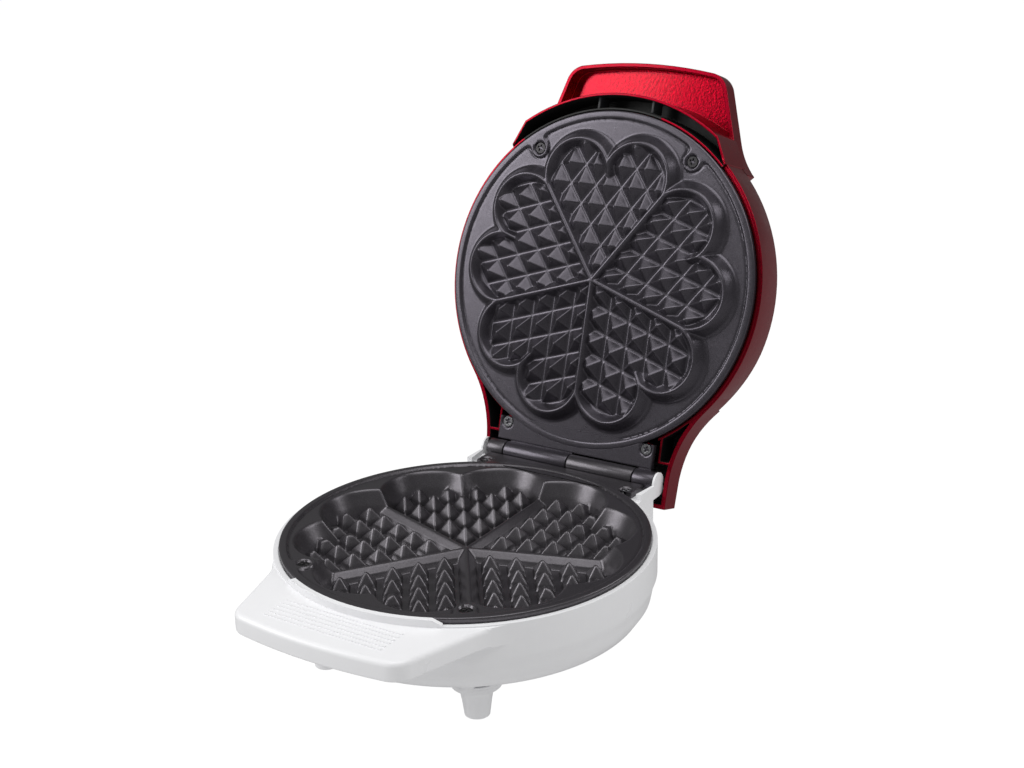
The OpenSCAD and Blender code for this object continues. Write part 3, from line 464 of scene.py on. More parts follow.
@dataclass(frozen=True)
class HeartPlan:
    """Plan of the five hearts, in the plate's own plane."""

    hearts: int = 5
    ring_r: float = 60.8
    lobe_angle: float = 17.5
    pitch: float = 12.95
    corner: float = 1.2

    @property
    def half(self) -> float:
        """Half the angle of one heart, in radians."""
        return math.pi / self.hearts

    def ridge_distances(self, x: Field, y: Field) -> tuple[Field, Field]:
        """Distances of points from the two ridges of their own heart.

        Args:
            x: x of the points.
            y: y of the points.

        Returns:
            The distances from the one and the other ridge.
        """
        turn = np.arctan2(y, x) + math.pi / 2
        local = turn - 2 * self.half * np.round(turn / (2 * self.half))
        r = np.hypot(x, y)
        return r * np.sin(self.half - local), r * np.sin(self.half + local)

    def lobe_distance(self, x: Field, y: Field) -> Field:
        """Distance of points from the nearest lobe centre, rounded between the lobes.

        Args:
            x: x of the points.
            y: y of the points.

        Returns:
            The distance.
        """
        turn = np.arctan2(y, x) + math.pi / 2
        local = np.abs(turn - 2 * self.half * np.round(turn / (2 * self.half)))
        r = np.hypot(x, y)
        centre = math.radians(self.lobe_angle)
        result = None
        for angle in (centre, -centre, 2 * self.half - centre):
            d = np.sqrt(np.maximum(r * r + self.ring_r ** 2
                                   - 2 * r * self.ring_r * np.cos(local - angle), 0.0))
            result = d if result is None else soft_min(result, d, self.corner)
        return result

    def cell_lobe_distance(self, u: Field, v: Field, first: float) -> Field:
        """Distance of the middles of the points' cells from their lobe centre, 0 inside the hearts.

        Args:
            u: distance from the one ridge.
            v: distance from the other ridge.
            first: distance of the first row of cells from a ridge.

        Returns:
            The distance.
        """
        a, b = (first + np.maximum(np.round((w - first) / self.pitch), 0) * self.pitch for w in (u, v))
        out = (a + b) / (2 * math.sin(self.half))
        across = np.abs(b - a) / (2 * math.cos(self.half))
        centre = math.radians(self.lobe_angle)
        away = np.hypot(out - self.ring_r * math.cos(centre), across - self.ring_r * math.sin(centre))
        return np.where(out > self.ring_r * math.cos(centre), away, 0.0)

    def cells(self, u: Field, v: Field, first: float, rounding: float) -> Field:
        """Distance of points from the middle of their cell, measured to its nearest side.

        Args:
            u: distance from the one ridge.
            v: distance from the other ridge.
            first: distance of the first row of cells from a ridge.
            rounding: rounding of the cells' corners.

        Returns:
            The larger of the two distances from the cell's middle lines.
        """
        offsets = []
        for w in (u, v):
            row = np.maximum(np.round((w - first) / self.pitch), 0)
            offsets.append(np.abs(w - first - row * self.pitch))
        return soft_max(offsets[0], offsets[1], rounding)


@dataclass(frozen=True)
class LowerRelief:
    """Height of the lower plate's face: five heart pockets with pyramids in them."""

    plan: HeartPlan = HeartPlan()
    face: float = -1.0
    floor: float = -15.5
    wall: tuple[tuple[float, float], ...] = ((20.3, -15.5), (22.7, -9.5), (27.2, -1.0))
    ridge_top: float = -9.5
    ridge_half: float = 0.65
    ridge_slope: float = 1.0
    eave: float = -12.9
    tip: float = -6.6
    tip_half: float = 0.45
    slope: float = 1.64
    first: float = 11.675
    near_wall: float = -8.6
    near_wall_from: tuple[float, float] = (15.5, 20.0)
    last_cell: float = 20.5
    edge: float = 1.0
    heart_reach: float = 38.6
    cell_corner: float = 0.7
    cap_soft: float = 0.9
    cell_drop: float = 4.0
    ridge_drop: float = 5.0
    ridge_soft: float = 0.3
    joint_soft: float = 0.4
    floor_soft: float = 0.5
    wall_soft: float = 0.6

    def __call__(self, x: Field, y: Field) -> Field:
        """Height of the face.

        Args:
            x: x of the points.
            y: y of the points.

        Returns:
            The height over the rim.
        """
        d = np.minimum(self.plan.lobe_distance(x, y), np.hypot(x, y) - self.heart_reach)
        (d0, z0), (d1, z1), (d2, z2) = self.wall
        wall = np.where(d > d1, z1 + (d - d1) * (z2 - z1) / (d2 - d1),
                        z0 + (d - d0) * (z1 - z0) / (d1 - d0))
        u, v = self.plan.ridge_distances(x, y)
        m = self.plan.cells(u, v, self.first, self.cell_corner)
        cell = self.tip - self.slope * (m - self.tip_half)
        cap = self.tip - (self.tip - self.near_wall) * fade(d, *self.near_wall_from)
        cell = soft_min(cell, cap, self.cap_soft)
        gone = self.plan.cell_lobe_distance(u, v, self.first) > self.last_cell
        cell = np.where(gone, self.floor, cell)
        cell = np.where(cell > self.eave, cell, self.eave - (self.eave - cell) * self.cell_drop)
        p = soft_min(u, v, self.ridge_soft)
        ridge = soft_min(self.ridge_top - self.ridge_slope * (p - self.ridge_half), self.ridge_top,
                         self.ridge_soft)
        ridge = np.where(ridge > self.eave, ridge, self.eave - (self.eave - ridge) * self.ridge_drop)
        inside = soft_max(soft_max(ridge, cell, self.joint_soft), self.floor, self.floor_soft)
        pocket = soft_max(wall, inside, self.wall_soft)
        return soft_min(pocket, self.face, self.edge)


@dataclass(frozen=True)
class UpperRelief:
    """Height of the upper plate's face: five raised heart outlines with pyramids inside."""

    plan: HeartPlan = HeartPlan()
    face: float = -1.0
    floor: float = 0.7
    crest: float = 6.2
    crest_r: float = 20.5
    crest_in_r: float = 19.2
    outer_slope: float = 1.6
    inner_slope: float = 1.57
    ridge_half: float = 0.65
    ridge_slope: float = 1.64
    tip: float = 6.1
    tip_half: float = 0.35
    slope: float = 0.99
    first: float = 5.2
    foot: float = 1.6
    heart_r: float = 57.0
    inner_reach: float = 15.7
    inner_r: float = 56.0
    tip_soft: float = 0.35
    joint_soft: float = 0.3
    floor_soft: float = 0.4
    outer_soft: float = 0.45

    def __call__(self, x: Field, y: Field) -> Field:
        """Height of the face.

        Args:
            x: x of the points.
            y: y of the points.

        Returns:
            The height over the rim.
        """
        r = np.hypot(x, y)
        lobe = self.plan.lobe_distance(x, y)
        out = np.minimum(lobe, self.crest_r + r - self.heart_r)
        within = np.minimum(lobe, self.inner_reach + r - self.inner_r)
        u, v = self.plan.ridge_distances(x, y)
        m = self.plan.cells(u, v, self.first, self.tip_soft)
        cell = soft_min(self.tip - self.slope * (m - self.tip_half), self.tip, self.tip_soft)
        p = soft_min(u, v, self.joint_soft)
        ridge = soft_min(self.crest - self.ridge_slope * (p - self.ridge_half), self.crest,
                         self.joint_soft)
        rise = self.crest - self.inner_slope * (self.crest_in_r - within)
        inside = soft_max(soft_max(ridge, cell, self.joint_soft), rise, self.joint_soft)
        inside = soft_max(inside, self.floor, self.floor_soft)
        top = soft_min(inside, self.crest, self.tip_soft)
        outer = self.crest - self.outer_slope * (out - self.crest_r)
        return soft_max(soft_min(top, outer, self.outer_soft), self.face, self.foot)


@dataclass
class BakingPlate(Assembly):
    """A baking plate: relief, rim band with groove, hinge tab and its knuckles."""

    name: str = "lower_plate"
    # the lower plate's lighter, light-toned copy of the nonstick coating: painted light
    finish: str = "nonstick_lower"
    relief: Callable[[Field, Field], Field] = field(default_factory=LowerRelief)
    face_down: bool = False
    back: float = 18.7
    back_r: float = 80.9
    flange_back: float = 3.5
    knuckles: tuple[tuple[float, float], ...] = ()
    knuckle_z: float = 0.0
    plate_r: float = 95.0
    field_r: float = 94.0
    rim_inner_r: float = 90.8
    barrel_r: float = 5.5
    tab_half: float = 50.0
    tab_z: float = -0.25
    front_screw: tuple[float, float] = (48.3, -70.7)
    rear_screw: tuple[float, float] = (45.2, 88.1)
    ear_r: float = 5.6
    seat_r: float = 3.6
    seat_z: float = -1.75
    seat_soft: float = 0.3
    ear_blend: float = 5.0
    band_step: tuple[float, float] = (-0.35, 0.45)
    groove_depth: float = 0.45
    groove_at: float = 0.45
    groove_width: float = 0.42
    rim_round: tuple[tuple[float, float], ...] = ((94.6, -0.12), (94.92, -0.4), (95.0, -0.8))
    back_round: float = 0.3
    back_edge_r: float = 94.7
    flange_inner_r: float = 89.3
    tab_front: float = 85.0
    tab_rear: float = 98.2
    tab_cells: tuple[int, int] = (170, 22)
    tab_sunk: float = 0.5
    tab_sunk_r: tuple[float, float] = (94.2, 93.6)
    tab_round: tuple[tuple[float, float], ...] = ((-0.15, 0.12), (-0.45, 0.2))
    tab_lift: float = 0.05
    knuckle_soft: float = 0.5
    root_front: float = 96.0
    root_rear: float = 2.0
    root_top: float = -1.06
    rows: int = 23

    def rim(self, x: Field, y: Field, height: Field) -> Field:
        """Adds the raised rim band, its groove and the seats of the front screws.

        Args:
            x: x of the points.
            y: y of the points.
            height: height of the relief.

        Returns:
            The height with rim.
        """
        r = np.hypot(x, y)
        screw = np.minimum(np.hypot(x - self.front_screw[0], y - self.front_screw[1]),
                           np.hypot(x + self.front_screw[0], y - self.front_screw[1]))
        to_band = soft_min(self.rim_inner_r - r, screw - self.ear_r, self.ear_blend)
        height = height + (0.0 - height) * fade(-to_band, *self.band_step)
        height = height - self.groove_depth * np.exp(-((to_band - self.groove_at) / self.groove_width) ** 2)
        return height + (self.seat_z - height) * self.seat(screw)

    def seat(self, screw: Field) -> Field:
        """Share of a screw's seat.

        Args:
            screw: distance from the screw.

        Returns:
            1 in the seat and 0 outside it.
        """
        return fade(-screw, -self.seat_r - self.seat_soft, -self.seat_r + self.seat_soft)

    def face(self, mesh: bmesh.types.BMesh) -> None:
        """Draws the face as a fine rhombic net, and closes it round the rim and the back.

        Args:
            mesh: the drawing.
        """
        plan = self.relief.plan
        step = plan.pitch / self.rows
        count = math.ceil(self.field_r * math.sin(2 * plan.half) / step) + 1
        reach = count * step
        net = bmesh.ops.create_grid(mesh, x_segments=count, y_segments=count, size=reach / 2)["verts"]
        cos, sin = math.cos(plan.half), math.sin(plan.half)
        for vert in net:
            u, v = vert.co.x + reach / 2, vert.co.y + reach / 2
            vert.co = ((v - u) / (2 * cos), -(u + v) / (2 * sin), 0.0)
        far = [v for v in mesh.verts if math.hypot(v.co.x, v.co.y) > self.field_r]
        bmesh.ops.delete(mesh, geom=far, context="VERTS")
        heart = list(mesh.verts) + list(mesh.edges) + list(mesh.faces)
        for turn in range(1, plan.hearts):
            copy = bmesh.ops.duplicate(mesh, geom=heart)["geom"]
            bmesh.ops.rotate(mesh, cent=(0, 0, 0), matrix=Matrix.Rotation(2 * plan.half * turn, 3, "Z"),
                             verts=[g for g in copy if isinstance(g, bmesh.types.BMVert)])
        bmesh.ops.remove_doubles(mesh, verts=mesh.verts, dist=step * 0.2)
        border = [e for e in mesh.edges if e.is_boundary]
        for vert in {v for e in border for v in e.verts}:
            r = math.hypot(vert.co.x, vert.co.y)
            vert.co.x, vert.co.y = vert.co.x * self.field_r / r, vert.co.y * self.field_r / r
        spots = np.array([v.co for v in mesh.verts])
        heights = self.rim(spots[:, 0], spots[:, 1], self.relief(spots[:, 0], spots[:, 1]))
        for vert, z in zip(mesh.verts, heights):
            vert.co.z = z
        self.skirt(mesh, border)

    def skirt(self, mesh: bmesh.types.BMesh, border: list[bmesh.types.BMEdge]) -> None:
        """Carries the border on round the outer edge to the back, and closes it.

        Args:
            mesh: the drawing.
            border: edges round the face.
        """
        rings = [*self.rim_round, (self.plate_r, -self.flange_back + self.back_round),
                 (self.back_edge_r, -self.flange_back), (self.flange_inner_r, -self.flange_back)]
        if self.back > self.flange_back:
            rings.append((self.back_r, -self.back))
        edges = border
        for radius, z in rings:
            grown = bmesh.ops.extrude_edge_only(mesh, edges=edges)["geom"]
            edges = [g for g in grown if isinstance(g, bmesh.types.BMEdge) and g.is_boundary]
            for vert in [g for g in grown if isinstance(g, bmesh.types.BMVert)]:
                r = math.hypot(vert.co.x, vert.co.y)
                vert.co = (vert.co.x * radius / r, vert.co.y * radius / r, z)
        bmesh.ops.holes_fill(mesh, edges=edges, sides=0)

    def tab(self, mesh: bmesh.types.BMesh) -> None:
        """Draws the hinge tab with the seats of the rear screws, and the knuckles.

        Args:
            mesh: the drawing.
        """
        low, high = Vector((-self.tab_half, self.tab_front)), Vector((self.tab_half, self.tab_rear))
        across, along = self.tab_cells
        made = bmesh.ops.create_grid(mesh, x_segments=across, y_segments=along, size=0.5)["verts"]
        for vert in made:
            x = low.x + (vert.co.x + 0.5) * (high.x - low.x)
            y = low.y + (vert.co.y + 0.5) * (high.y - low.y)
            screw = math.hypot(abs(x) - self.rear_screw[0], y - self.rear_screw[1])
            outer, inner = self.tab_sunk_r
            sunk = float(fade(np.array(-math.hypot(x, y)), -outer, -inner))
            seat = float(self.seat(np.array(screw)))
            vert.co = (x, y, self.tab_z - self.tab_sunk * sunk + (self.seat_z - self.tab_z) * seat)
        border = list({e for v in made for e in v.link_edges if e.is_boundary})
        under = (-self.flange_back + self.tab_lift - self.tab_z, self.tab_round[-1][1])
        for drop, inset in (*self.tab_round, under):
            grown = bmesh.ops.extrude_edge_only(mesh, edges=border)["geom"]
            border = [g for g in grown if isinstance(g, bmesh.types.BMEdge) and g.is_boundary]
            for vert in [g for g in grown if isinstance(g, bmesh.types.BMVert)]:
                side = 1 if vert.co.x > 0 else -1
                if abs(vert.co.x) > self.tab_half - 0.01:
                    vert.co.x = side * (self.tab_half + inset)
                if vert.co.y > high.y - 0.01:
                    vert.co.y = high.y + inset
                vert.co.z = self.tab_z + drop
        bmesh.ops.holes_fill(mesh, edges=border, sides=0)
        for start, end in self.knuckles:
            middle = Vector(((start + end) / 2, PLACING.hinge_y, self.knuckle_z))
            cylinder(mesh, self.barrel_r, end - start, Matrix.Translation(middle)
                     @ Matrix.Rotation(math.pi / 2, 4, "Y"), soft=self.knuckle_soft, segments=64)
            block(mesh, Vector((max(start, -self.tab_half), self.root_front, -self.flange_back)),
                  Vector((min(end, self.tab_half), PLACING.hinge_y - self.root_rear, self.root_top)))

    def build(self) -> None:
        """Builds the plate as one piece."""
        mesh = bmesh.new()
        self.face(mesh)
        self.tab(mesh)
        place = PLACING.matrix(self.body)
        if self.face_down:
            place = place @ Matrix.Scale(-1, 4, (0, 0, 1))
        self.add(mesh, self.name + "_face", self.finish, "nonstick", [self.name], sharp=60,
                 matrix=place)


# ---- pieces taken from the frame


@dataclass
class SoftenedNode(Assembly):
    """A CAD node's shape with merged faces and softened edges."""

    node: str = ""
    finish: str = "white_plastic"
    slot: str = "white_plastic"
    soft: float = 0.5
    flat: float = 0.6
    angle: float = 32.0

    def drawing(self) -> bmesh.types.BMesh:
        """A merged copy of the node, in metres.

        Returns:
            The copy.
        """
        mesh = bmesh.new()
        source = self.frame_nodes()[self.node]
        mesh.from_mesh(source.data)
        bmesh.ops.transform(mesh, matrix=source.matrix_world, verts=mesh.verts)
        bmesh.ops.remove_doubles(mesh, verts=mesh.verts, dist=WELD)
        bmesh.ops.dissolve_limit(mesh, angle_limit=math.radians(self.flat), verts=mesh.verts,
                                 edges=mesh.edges)
        for face in mesh.faces:
            face.material_index = 0
        return mesh

    @staticmethod
    def frame_nodes() -> dict[str, bpy.types.Object]:
        """The frame's nodes by name.

        Returns:
            The nodes.
        """
        return FRAME["nodes"]

    def paint(self, mesh: bmesh.types.BMesh) -> Sequence[str]:
        """Chooses the finish of each face.

        Args:
            mesh: the merged copy.

        Returns:
            The finishes in the order of the faces' material numbers.
        """
        return [self.finish]

    def build(self) -> bpy.types.Object:
        """Builds the piece.

        Returns:
            The object.
        """
        mesh = self.drawing()
        finishes = self.paint(mesh)
        piece = self.add(mesh, self.node + "_body", finishes, self.slot, [self.node],
                         sharp=self.angle, matrix=Matrix.Identity(4))
        if self.soft > 0:
            bevel = piece.modifiers.new("Soft edges", "BEVEL")
            bevel.width = self.soft * MM
            bevel.segments = 2
            bevel.limit_method = "ANGLE"
            bevel.angle_limit = math.radians(self.angle)
            bevel.use_clamp_overlap = False
        weighted = piece.modifiers.new("Flat faces", "WEIGHTED_NORMAL")
        weighted.mode = "FACE_AREA_WITH_ANGLE"
        weighted.keep_sharp = True
        return piece

    @staticmethod
    def inner_point(face: bmesh.types.BMFace) -> Vector:
        """A point that surely lies on a face, close to its longest side.

        Args:
            face: the face.

        Returns:
            The point, in metres.
        """
        loop = max(face.loops, key=lambda one: one.edge.calc_length())
        start, end = loop.vert.co, loop.link_loop_next.vert.co
        inward = face.normal.cross((end - start).normalized())
        inset = 0.15
        return (start + end) / 2 + inward * inset * MM

    @staticmethod
    def round_edges(mesh: bmesh.types.BMesh, height: float, radius: float, up: float,
                    middle: Vector, back: Matrix, clear: Callable[[Vector], bool]) -> None:
        """Rounds the outer edges of a slab where its face at one height meets its sides.

        Args:
            mesh: the copy, in metres.
            height: height of the face in the drawing.
            radius: radius of the rounding.
            up: 1 where the face looks up, -1 where it looks down.
            middle: a point inside the slab, in the drawing.
            back: row frame to drawing.
            clear: says of a point in the drawing whether it belongs to the slab's outline.
        """
        chosen = []
        slack, level = 0.03, 0.9
        turn = back.to_3x3()
        for edge in mesh.edges:
            spots = [back @ vert.co for vert in edge.verts]
            off = any(abs(spot.z - height) > slack or not clear(spot) for spot in spots)
            if len(edge.link_faces) != 2 or off:
                continue
            normals = sorted(((turn @ f.normal).normalized() for f in edge.link_faces),
                             key=lambda n: -n.z * up)
            if normals[0].z * up > level and normals[1].dot((spots[0] - middle).to_2d().to_3d()) > 0:
                chosen.append(edge)
        bmesh.ops.bevel(mesh, geom=chosen, offset=radius * MM, segments=5, profile=0.5,
                        affect="EDGES", material=-1, clamp_overlap=False)


@dataclass
class BaseHousing(SoftenedNode):
    """The base's housing: slim hinge ears, a soft grip and a guard lip that runs out."""

    node: str = "lower_housing"
    soft: float = 0.0
    flat: float = 0.1
    ear_from: float = 53.1
    ear_reach: float = 8.4
    ear_r: float = 5.6
    ear_in: float = 53.6
    ear_start: float = 55.3
    ear_low: float = -5.0
    grip_front: float = -70.0
    grip_middle: float = -100.0
    grip_top: float = -3.5
    grip_bottom: float = -13.5
    grip_top_soft: float = 2.6
    grip_bottom_soft: float = 1.1
    body_r: float = 98.0
    rib_field: tuple[float, float] = (35.0, -118.5)
    lip_half_angle: float = 28.0
    lip_end: float = -2.3
    lip_foot: float = -2.8
    lip_slack: float = 0.1
    outline_gap: float = 1.0

    def outline(self, spot: Vector) -> bool:
        """Whether a point of the grip's faces is on its outline, not at a rib or the body.

        Args:
            spot: the point.

        Returns:
            True on the outline.
        """
        at_rib = abs(spot.x) < self.rib_field[0] and spot.y > self.rib_field[1]
        far = math.hypot(spot.x, spot.y) > self.body_r + self.outline_gap
        return spot.y < self.grip_front and far and not at_rib

    def drawing(self) -> bmesh.types.BMesh:
        """A merged copy of the node with slimmer ears and a softer grip, in metres.

        Returns:
            The copy.
        """
        mesh = super().drawing()
        place = PLACING.matrix(Body.BASE)
        back = place.inverted()
        for vert in mesh.verts:
            spot = back @ vert.co
            rho = math.hypot(spot.y - PLACING.hinge_y, spot.z)
            turn = math.degrees(math.atan2(abs(spot.x), -spot.y))
            if abs(spot.x) > self.ear_from and rho < self.ear_reach and spot.z > self.ear_low:
                if rho > self.ear_r:
                    spot.y = PLACING.hinge_y + (spot.y - PLACING.hinge_y) * self.ear_r / rho
                    spot.z *= self.ear_r / rho
                if abs(spot.x) < self.ear_in:
                    spot.x = math.copysign(self.ear_start, spot.x)
            elif abs(turn - self.lip_half_angle) < self.lip_slack and self.lip_foot < spot.z:
                spot.z = self.lip_end
            vert.co = place @ spot
        middle = Vector((0.0, self.grip_middle, 0.0))
        self.round_edges(mesh, self.grip_top, self.grip_top_soft, 1, middle, back, self.outline)
        self.round_edges(mesh, self.grip_bottom, self.grip_bottom_soft, -1, middle, back,
                         self.outline)
        return mesh


@dataclass
class LidHousing(SoftenedNode):
    """The lid's housing: red outside, black in its pockets."""

    body: Body = Body.LID
    node: str = "lid_housing"
    finish: str = "red_metallic"
    slot: str = "red_metallic"
    grip_r: float = 105.2
    pocket_depth: float = 6.0
    ring_r: float = 99.0
    ring_black_x: float = 26.0
    ring_black_y: float = -75.0
    crest_r: float = 104.3
    outward: float = 0.2
    inward: float = -0.3
    grip_front: float = -80.0
    grip_inward: float = -0.5
    grip_floor: float = 27.0
    probe_start: float = 2e-5
    probe_reach: float = 0.25
    soft: float = 0.3
    flat: float = 0.3
    tail_from: float = 25.0
    tail_to: float = 85.0
    tail_z: float = 16.0
    tail_share: float = 0.25

    def drawing(self) -> bmesh.types.BMesh:
        """A merged copy of the node whose crown runs down evenly towards the tail, in metres.

        Returns:
            The copy.
        """
        mesh = super().drawing()
        place = PLACING.matrix(Body.LID)
        back = place.inverted()
        for vert in mesh.verts:
            spot = back @ vert.co
            if spot.y > self.tail_from and spot.z > self.tail_z:
                share = float(fade(np.array(spot.y), self.tail_from, self.tail_to))
                spot.z = self.tail_z + (spot.z - self.tail_z) * (1 - (1 - self.tail_share) * share)
                vert.co = place @ spot
        turn = place.to_3x3()
        for point, normal in ((Vector((0, self.ring_black_y, 0)), Vector((0, 1, 0))),
                              (Vector((self.ring_black_x, 0, 0)), Vector((1, 0, 0)))):
            bmesh.ops.bisect_plane(mesh, geom=list(mesh.verts) + list(mesh.edges) + list(mesh.faces),
                                   plane_co=place @ point, plane_no=(turn @ normal).normalized(),
                                   dist=ON_PLANE)
        return mesh

    def paint(self, mesh: bmesh.types.BMesh) -> Sequence[str]:
        """Red outside, black where a face looks at the housing, textured red in the grip's hollow.

        Args:
            mesh: the merged copy.

        Returns:
            The finishes in the order of the faces' material numbers.
        """
        back = PLACING.matrix(Body.LID).inverted()
        tree = BVHTree.FromBMesh(mesh)
        for face in mesh.faces:
            centre = self.inner_point(face)
            spot = back @ centre
            normal = (back.to_3x3() @ face.normal).normalized()
            r = math.hypot(spot.x, spot.y)
            hit = tree.ray_cast(centre + face.normal * self.probe_start, face.normal,
                                self.probe_reach)[0]
            if spot.y < self.grip_front and r > self.grip_r:
                down = normal.z < self.grip_inward and spot.z > self.grip_floor
                hollow = hit is not None or down
                face.material_index = 2 if hollow else 0
            elif normal.z > self.outward:
                face.material_index = 0
            elif hit is not None or (normal.z < self.inward and spot.z > self.pocket_depth):
                face.material_index = 1
            elif r < self.ring_r and spot.y < self.ring_black_y and spot.x < self.ring_black_x:
                face.material_index = 1
            if r > self.crest_r and face.material_index == 1 and spot.y < self.ring_black_y:
                face.material_index = 0
        return [self.finish, "black_plastic", "red_textured"]


@dataclass
class FrontFeet(Assembly):
    """Rounded collars where the base's underside meets the two front feet."""

    foot: tuple[float, float] = (46.0, -61.0)
    tip_d: float = 12.4
    root_d: float = 18.0
    belly: float = 17.0
    fillet: float = 4.5
    cone_rise: float = 5.0
    inside: float = 1.5
    overlap: float = 3.0
    skin: float = 0.05
    proud: float = 0.15
    into_wall: float = 3.8
    steps: int = 8
    sides: int = 48

    def profile(self) -> list[tuple[float, float]]:
        """Radius and height of the fillet's outline, from the foot out to the belly.

        Returns:
            The points.
        """
        low = self.belly - self.fillet
        slope = (self.root_d - self.tip_d) / 2 / (self.belly + self.cone_rise)
        start = self.tip_d / 2 + slope * low
        points = [(start - self.inside, low - self.overlap),
                  (start - slope * self.overlap + self.skin, low - self.overlap)]
        for k in range(self.steps + 1):
            turn = math.pi / 2 * k / self.steps
            points.append((start + self.proud + self.fillet * (1 - math.cos(turn)),
                           low + self.fillet * math.sin(turn)))
        points += [(start + self.fillet + self.proud, self.belly + self.into_wall),
                   (start - self.inside, self.belly + self.into_wall)]
        return points

    def build(self) -> None:
        """Spins both fillets and joins them in one piece."""
        mesh = bmesh.new()
        place = PLACING.matrix(Body.BASE) @ Matrix.Translation((0, 0, -PLACING.rim_height))
        points = self.profile()
        for side in (-1, 1):
            verts = [mesh.verts.new((side * self.foot[0] + r, self.foot[1], z)) for r, z in points]
            edges = [mesh.edges.new(pair) for pair in zip(verts, verts[1:] + verts[:1])]
            bmesh.ops.spin(mesh, geom=verts + edges, cent=(side * self.foot[0], self.foot[1], 0),
                           axis=(0, 0, 1), angle=2 * math.pi, steps=self.sides, use_merge=True)
        self.add(mesh, "front_foot_fillets", "white_plastic", "white_plastic", sharp=50, matrix=place)


@dataclass
class CrestRibs(Assembly):
    """Two thin ribs between the lid's ring wall and its crest, drawn in lighter grey than the black pocket
    round them: a painted highlight for the light they catch.
    """

    body: Body = Body.LID
    rib_x: float = 17.0
    rib_half: float = 0.7
    inner_y: float = -95.9
    outer_y: float = -102.9
    low: float = 6.5
    high: float = 17.0

    def build(self) -> None:
        """Builds both ribs."""
        mesh = bmesh.new()
        for side in (-1, 1):
            x = side * self.rib_x
            block(mesh, Vector((x - self.rib_half, self.outer_y, self.low)),
                  Vector((x + self.rib_half, self.inner_y, self.high)), soft=0.2)
        # grey here is a painted highlight: the ribs are of the pocket's black plastic, drawn lighter for the
        # light they catch
        self.add(mesh, "crest_ribs", "grey_plastic", "red_metallic")


@dataclass
class Fittings(Assembly):
    """Screws, pads, lenses and inner parts: CAD shapes with their own finishes."""

    screws: tuple[tuple[str, Body, str], ...] = (
        ("lower_plate_front_screws", Body.BASE, "dark_screw"),
        ("lower_plate_rear_screws", Body.BASE, "bright_screw"),
        ("upper_plate_front_screws", Body.LID, "dark_screw"),
        ("upper_plate_rear_screws", Body.LID, "bright_screw"),
    )

    def build(self) -> None:
        """Softens the screws and dresses every other node that is left."""
        for node, body, finish in self.screws:
            SoftenedNode(self.finishes, body, node=node, finish=finish, slot=finish, soft=0.25,
                         flat=0.2, angle=40).build()
        slots = {part["node"]: part["material_slot"] for part in FRAME["record"]["subparts"]}
        for name, source in FRAME["nodes"].items():
            if source.hide_render:
                continue
            source.data.materials.clear()
            source.data.materials.append(self.finishes[slots[name]])
            LOG.info("%s: dressed as %s", name, slots[name])


# ---- light, floor and camera


@dataclass(frozen=True)
class Lamp:
    """One large soft lamp, aimed at a point of the object."""

    name: str
    azimuth: float
    elevation: float
    distance: float
    size: float
    power: float
    aim: tuple[float, float, float] = (0.0, 0.02, 0.1)

    def build(self) -> None:
        """Makes the lamp."""
        a, e = math.radians(self.azimuth), math.radians(self.elevation)
        way = Vector((math.cos(a) * math.cos(e), math.sin(a) * math.cos(e), math.sin(e)))
        data = bpy.data.lights.new(self.name, "AREA")
        data.shape = "SQUARE"
        data.size = self.size
        data.energy = self.power
        lamp = bpy.data.objects.new(self.name, data)
        lamp.location = Vector(self.aim) + way * self.distance
        lamp.rotation_euler = (-way).to_track_quat("-Z", "Y").to_euler()
        bpy.context.scene.collection.objects.link(lamp)


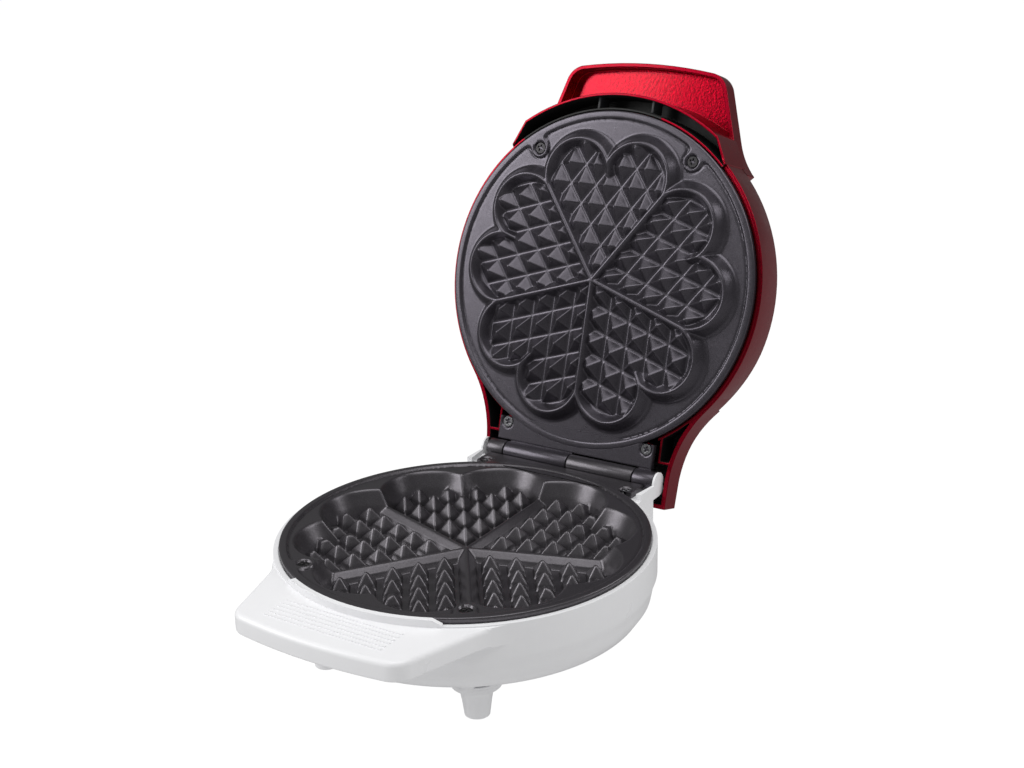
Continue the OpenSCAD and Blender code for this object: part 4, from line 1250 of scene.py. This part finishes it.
@dataclass
class Studio:
    """White room: floor, world, lamps and camera."""

    lamps: tuple[Lamp, ...] = (
        Lamp("overhead", -55.0, 76.0, 1.25, 1.1, 8.0),
        Lamp("left_box", -143.0, 30.0, 1.3, 0.8, 8.0),
        Lamp("right_box", 38.0, 32.0, 1.3, 0.6, 3.5),
    )
    ambient: float = 0.36
    mirrored: float = 0.15
    floor_glow: float = 0.98
    floor_bounce: float = 0.66
    floor_mirrored: float = 0.22
    floor_diffuse: float = 0.08
    floor_half: float = 6.0
    spot: tuple[float, float, float] = (0.411853, -0.585190, 0.387798)
    right: tuple[float, float, float] = (0.84185588, 0.53921858, -0.02284718)
    down: tuple[float, float, float] = (0.15853098, -0.28752864, -0.94456086)
    ahead: tuple[float, float, float] = (-0.51589398, 0.79156213, -0.32754053)
    lens: float = 53.715
    sensor: float = 36.0
    clip: tuple[float, float] = (0.01, 50.0)

    @staticmethod
    def by_ray(tree: bpy.types.NodeTree, path: bpy.types.Node, lit: float, mirrored: float,
               seen: float) -> bpy.types.NodeSocket:
        """Chooses a strength by the kind of ray that meets it.

        Args:
            tree: the node tree.
            path: its Light Path node.
            lit: strength for diffuse light.
            mirrored: strength in reflections.
            seen: strength for the camera.

        Returns:
            The strength.
        """
        first, second = tree.nodes.new("ShaderNodeMix"), tree.nodes.new("ShaderNodeMix")
        tree.links.new(path.outputs["Is Glossy Ray"], first.inputs[0])
        first.inputs[2].default_value, first.inputs[3].default_value = lit, mirrored
        tree.links.new(path.outputs["Is Camera Ray"], second.inputs[0])
        tree.links.new(first.outputs[0], second.inputs[2])
        second.inputs[3].default_value = seen
        return second.outputs[0]

    def floor(self) -> None:
        """Makes the white floor, which keeps a faint shadow."""
        mesh = bmesh.new()
        bmesh.ops.create_grid(mesh, x_segments=1, y_segments=1, size=self.floor_half)
        data = bpy.data.meshes.new("floor")
        mesh.to_mesh(data)
        mesh.free()
        material = bpy.data.materials.new("floor_white")
        nodes = Nodes(material)
        path = nodes.add("ShaderNodeLightPath")
        strength = self.by_ray(nodes.tree, path, self.floor_bounce, self.floor_mirrored, self.floor_glow)
        glow = nodes.add("ShaderNodeEmission", Color=(1, 1, 1, 1))
        nodes.tree.links.new(strength, glow.inputs["Strength"])
        matt = nodes.add("ShaderNodeBsdfDiffuse", Color=(self.floor_diffuse,) * 3 + (1,))
        both = nodes.add("ShaderNodeAddShader")
        nodes.tree.links.new(glow.outputs[0], both.inputs[0])
        nodes.tree.links.new(matt.outputs[0], both.inputs[1])
        output = nodes.add("ShaderNodeOutputMaterial")
        nodes.tree.links.new(both.outputs[0], output.inputs["Surface"])
        data.materials.append(material)
        floor = bpy.data.objects.new("floor", data)
        bpy.context.scene.collection.objects.link(floor)

    def world(self) -> None:
        """White to the camera, and a plain grey room to everything else."""
        world = bpy.data.worlds.new("room")
        world.use_nodes = True
        tree = world.node_tree
        tree.nodes.clear()
        path = tree.nodes.new("ShaderNodeLightPath")
        strength = self.by_ray(tree, path, self.ambient, self.mirrored, 1.0)
        room = tree.nodes.new("ShaderNodeBackground")
        room.inputs["Color"].default_value = (1, 1, 1, 1)
        tree.links.new(strength, room.inputs["Strength"])
        output = tree.nodes.new("ShaderNodeOutputWorld")
        tree.links.new(room.outputs[0], output.inputs["Surface"])
        bpy.context.scene.world = world

    def camera(self) -> None:
        """Makes the camera that shows the open appliance from its front right."""
        data = bpy.data.cameras.new("view")
        data.lens = self.lens
        data.sensor_width = self.sensor
        data.clip_start, data.clip_end = self.clip
        camera = bpy.data.objects.new("view", data)
        axes = Matrix((Vector(self.right), -Vector(self.down), -Vector(self.ahead))).transposed()
        camera.matrix_world = Matrix.Translation(self.spot) @ axes.to_4x4()
        bpy.context.scene.collection.objects.link(camera)
        bpy.context.scene.camera = camera

    def build(self) -> None:
        """Sets up the whole studio."""
        self.camera()
        self.world()
        self.floor()
        for lamp in self.lamps:
            lamp.build()
        bpy.context.scene.view_settings.view_transform = "Standard"


@dataclass
class WaffleMaker:
    """The whole appliance."""

    finishes: Finishes = field(default_factory=Finishes)
    barrel_half: float = 53.0
    short_knuckle: float = 11.0
    knuckle_gap: float = 0.6
    knuckle_reach: float = 2.0

    def build(self) -> None:
        """Builds every sub-assembly."""
        half, gap = self.barrel_half, self.knuckle_gap / 2
        inner = half - self.short_knuckle
        BakingPlate(self.finishes, knuckles=((-half, -inner - gap), (gap, inner - gap))).build()
        # the upper plate takes the darker, light-toned copy of the nonstick coating: painted light
        BakingPlate(self.finishes, Body.LID, name="upper_plate", finish="nonstick_upper",
                    relief=UpperRelief(), face_down=True, back=3.5,
                    knuckles=((-inner + gap, -gap), (inner + gap, half + self.knuckle_reach)),
                    knuckle_z=PLACING.rim_gap).build()
        BaseHousing(self.finishes).build()
        FrontFeet(self.finishes).build()
        LidHousing(self.finishes).build()
        CrestRibs(self.finishes).build()
        Fittings(self.finishes).build()


def main() -> None:
    """Loads the frame, and builds the appliance and the studio."""
    FRAME.update(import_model())
    WaffleMaker().build()
    Studio().build()


if __name__ == "__main__":
    main()
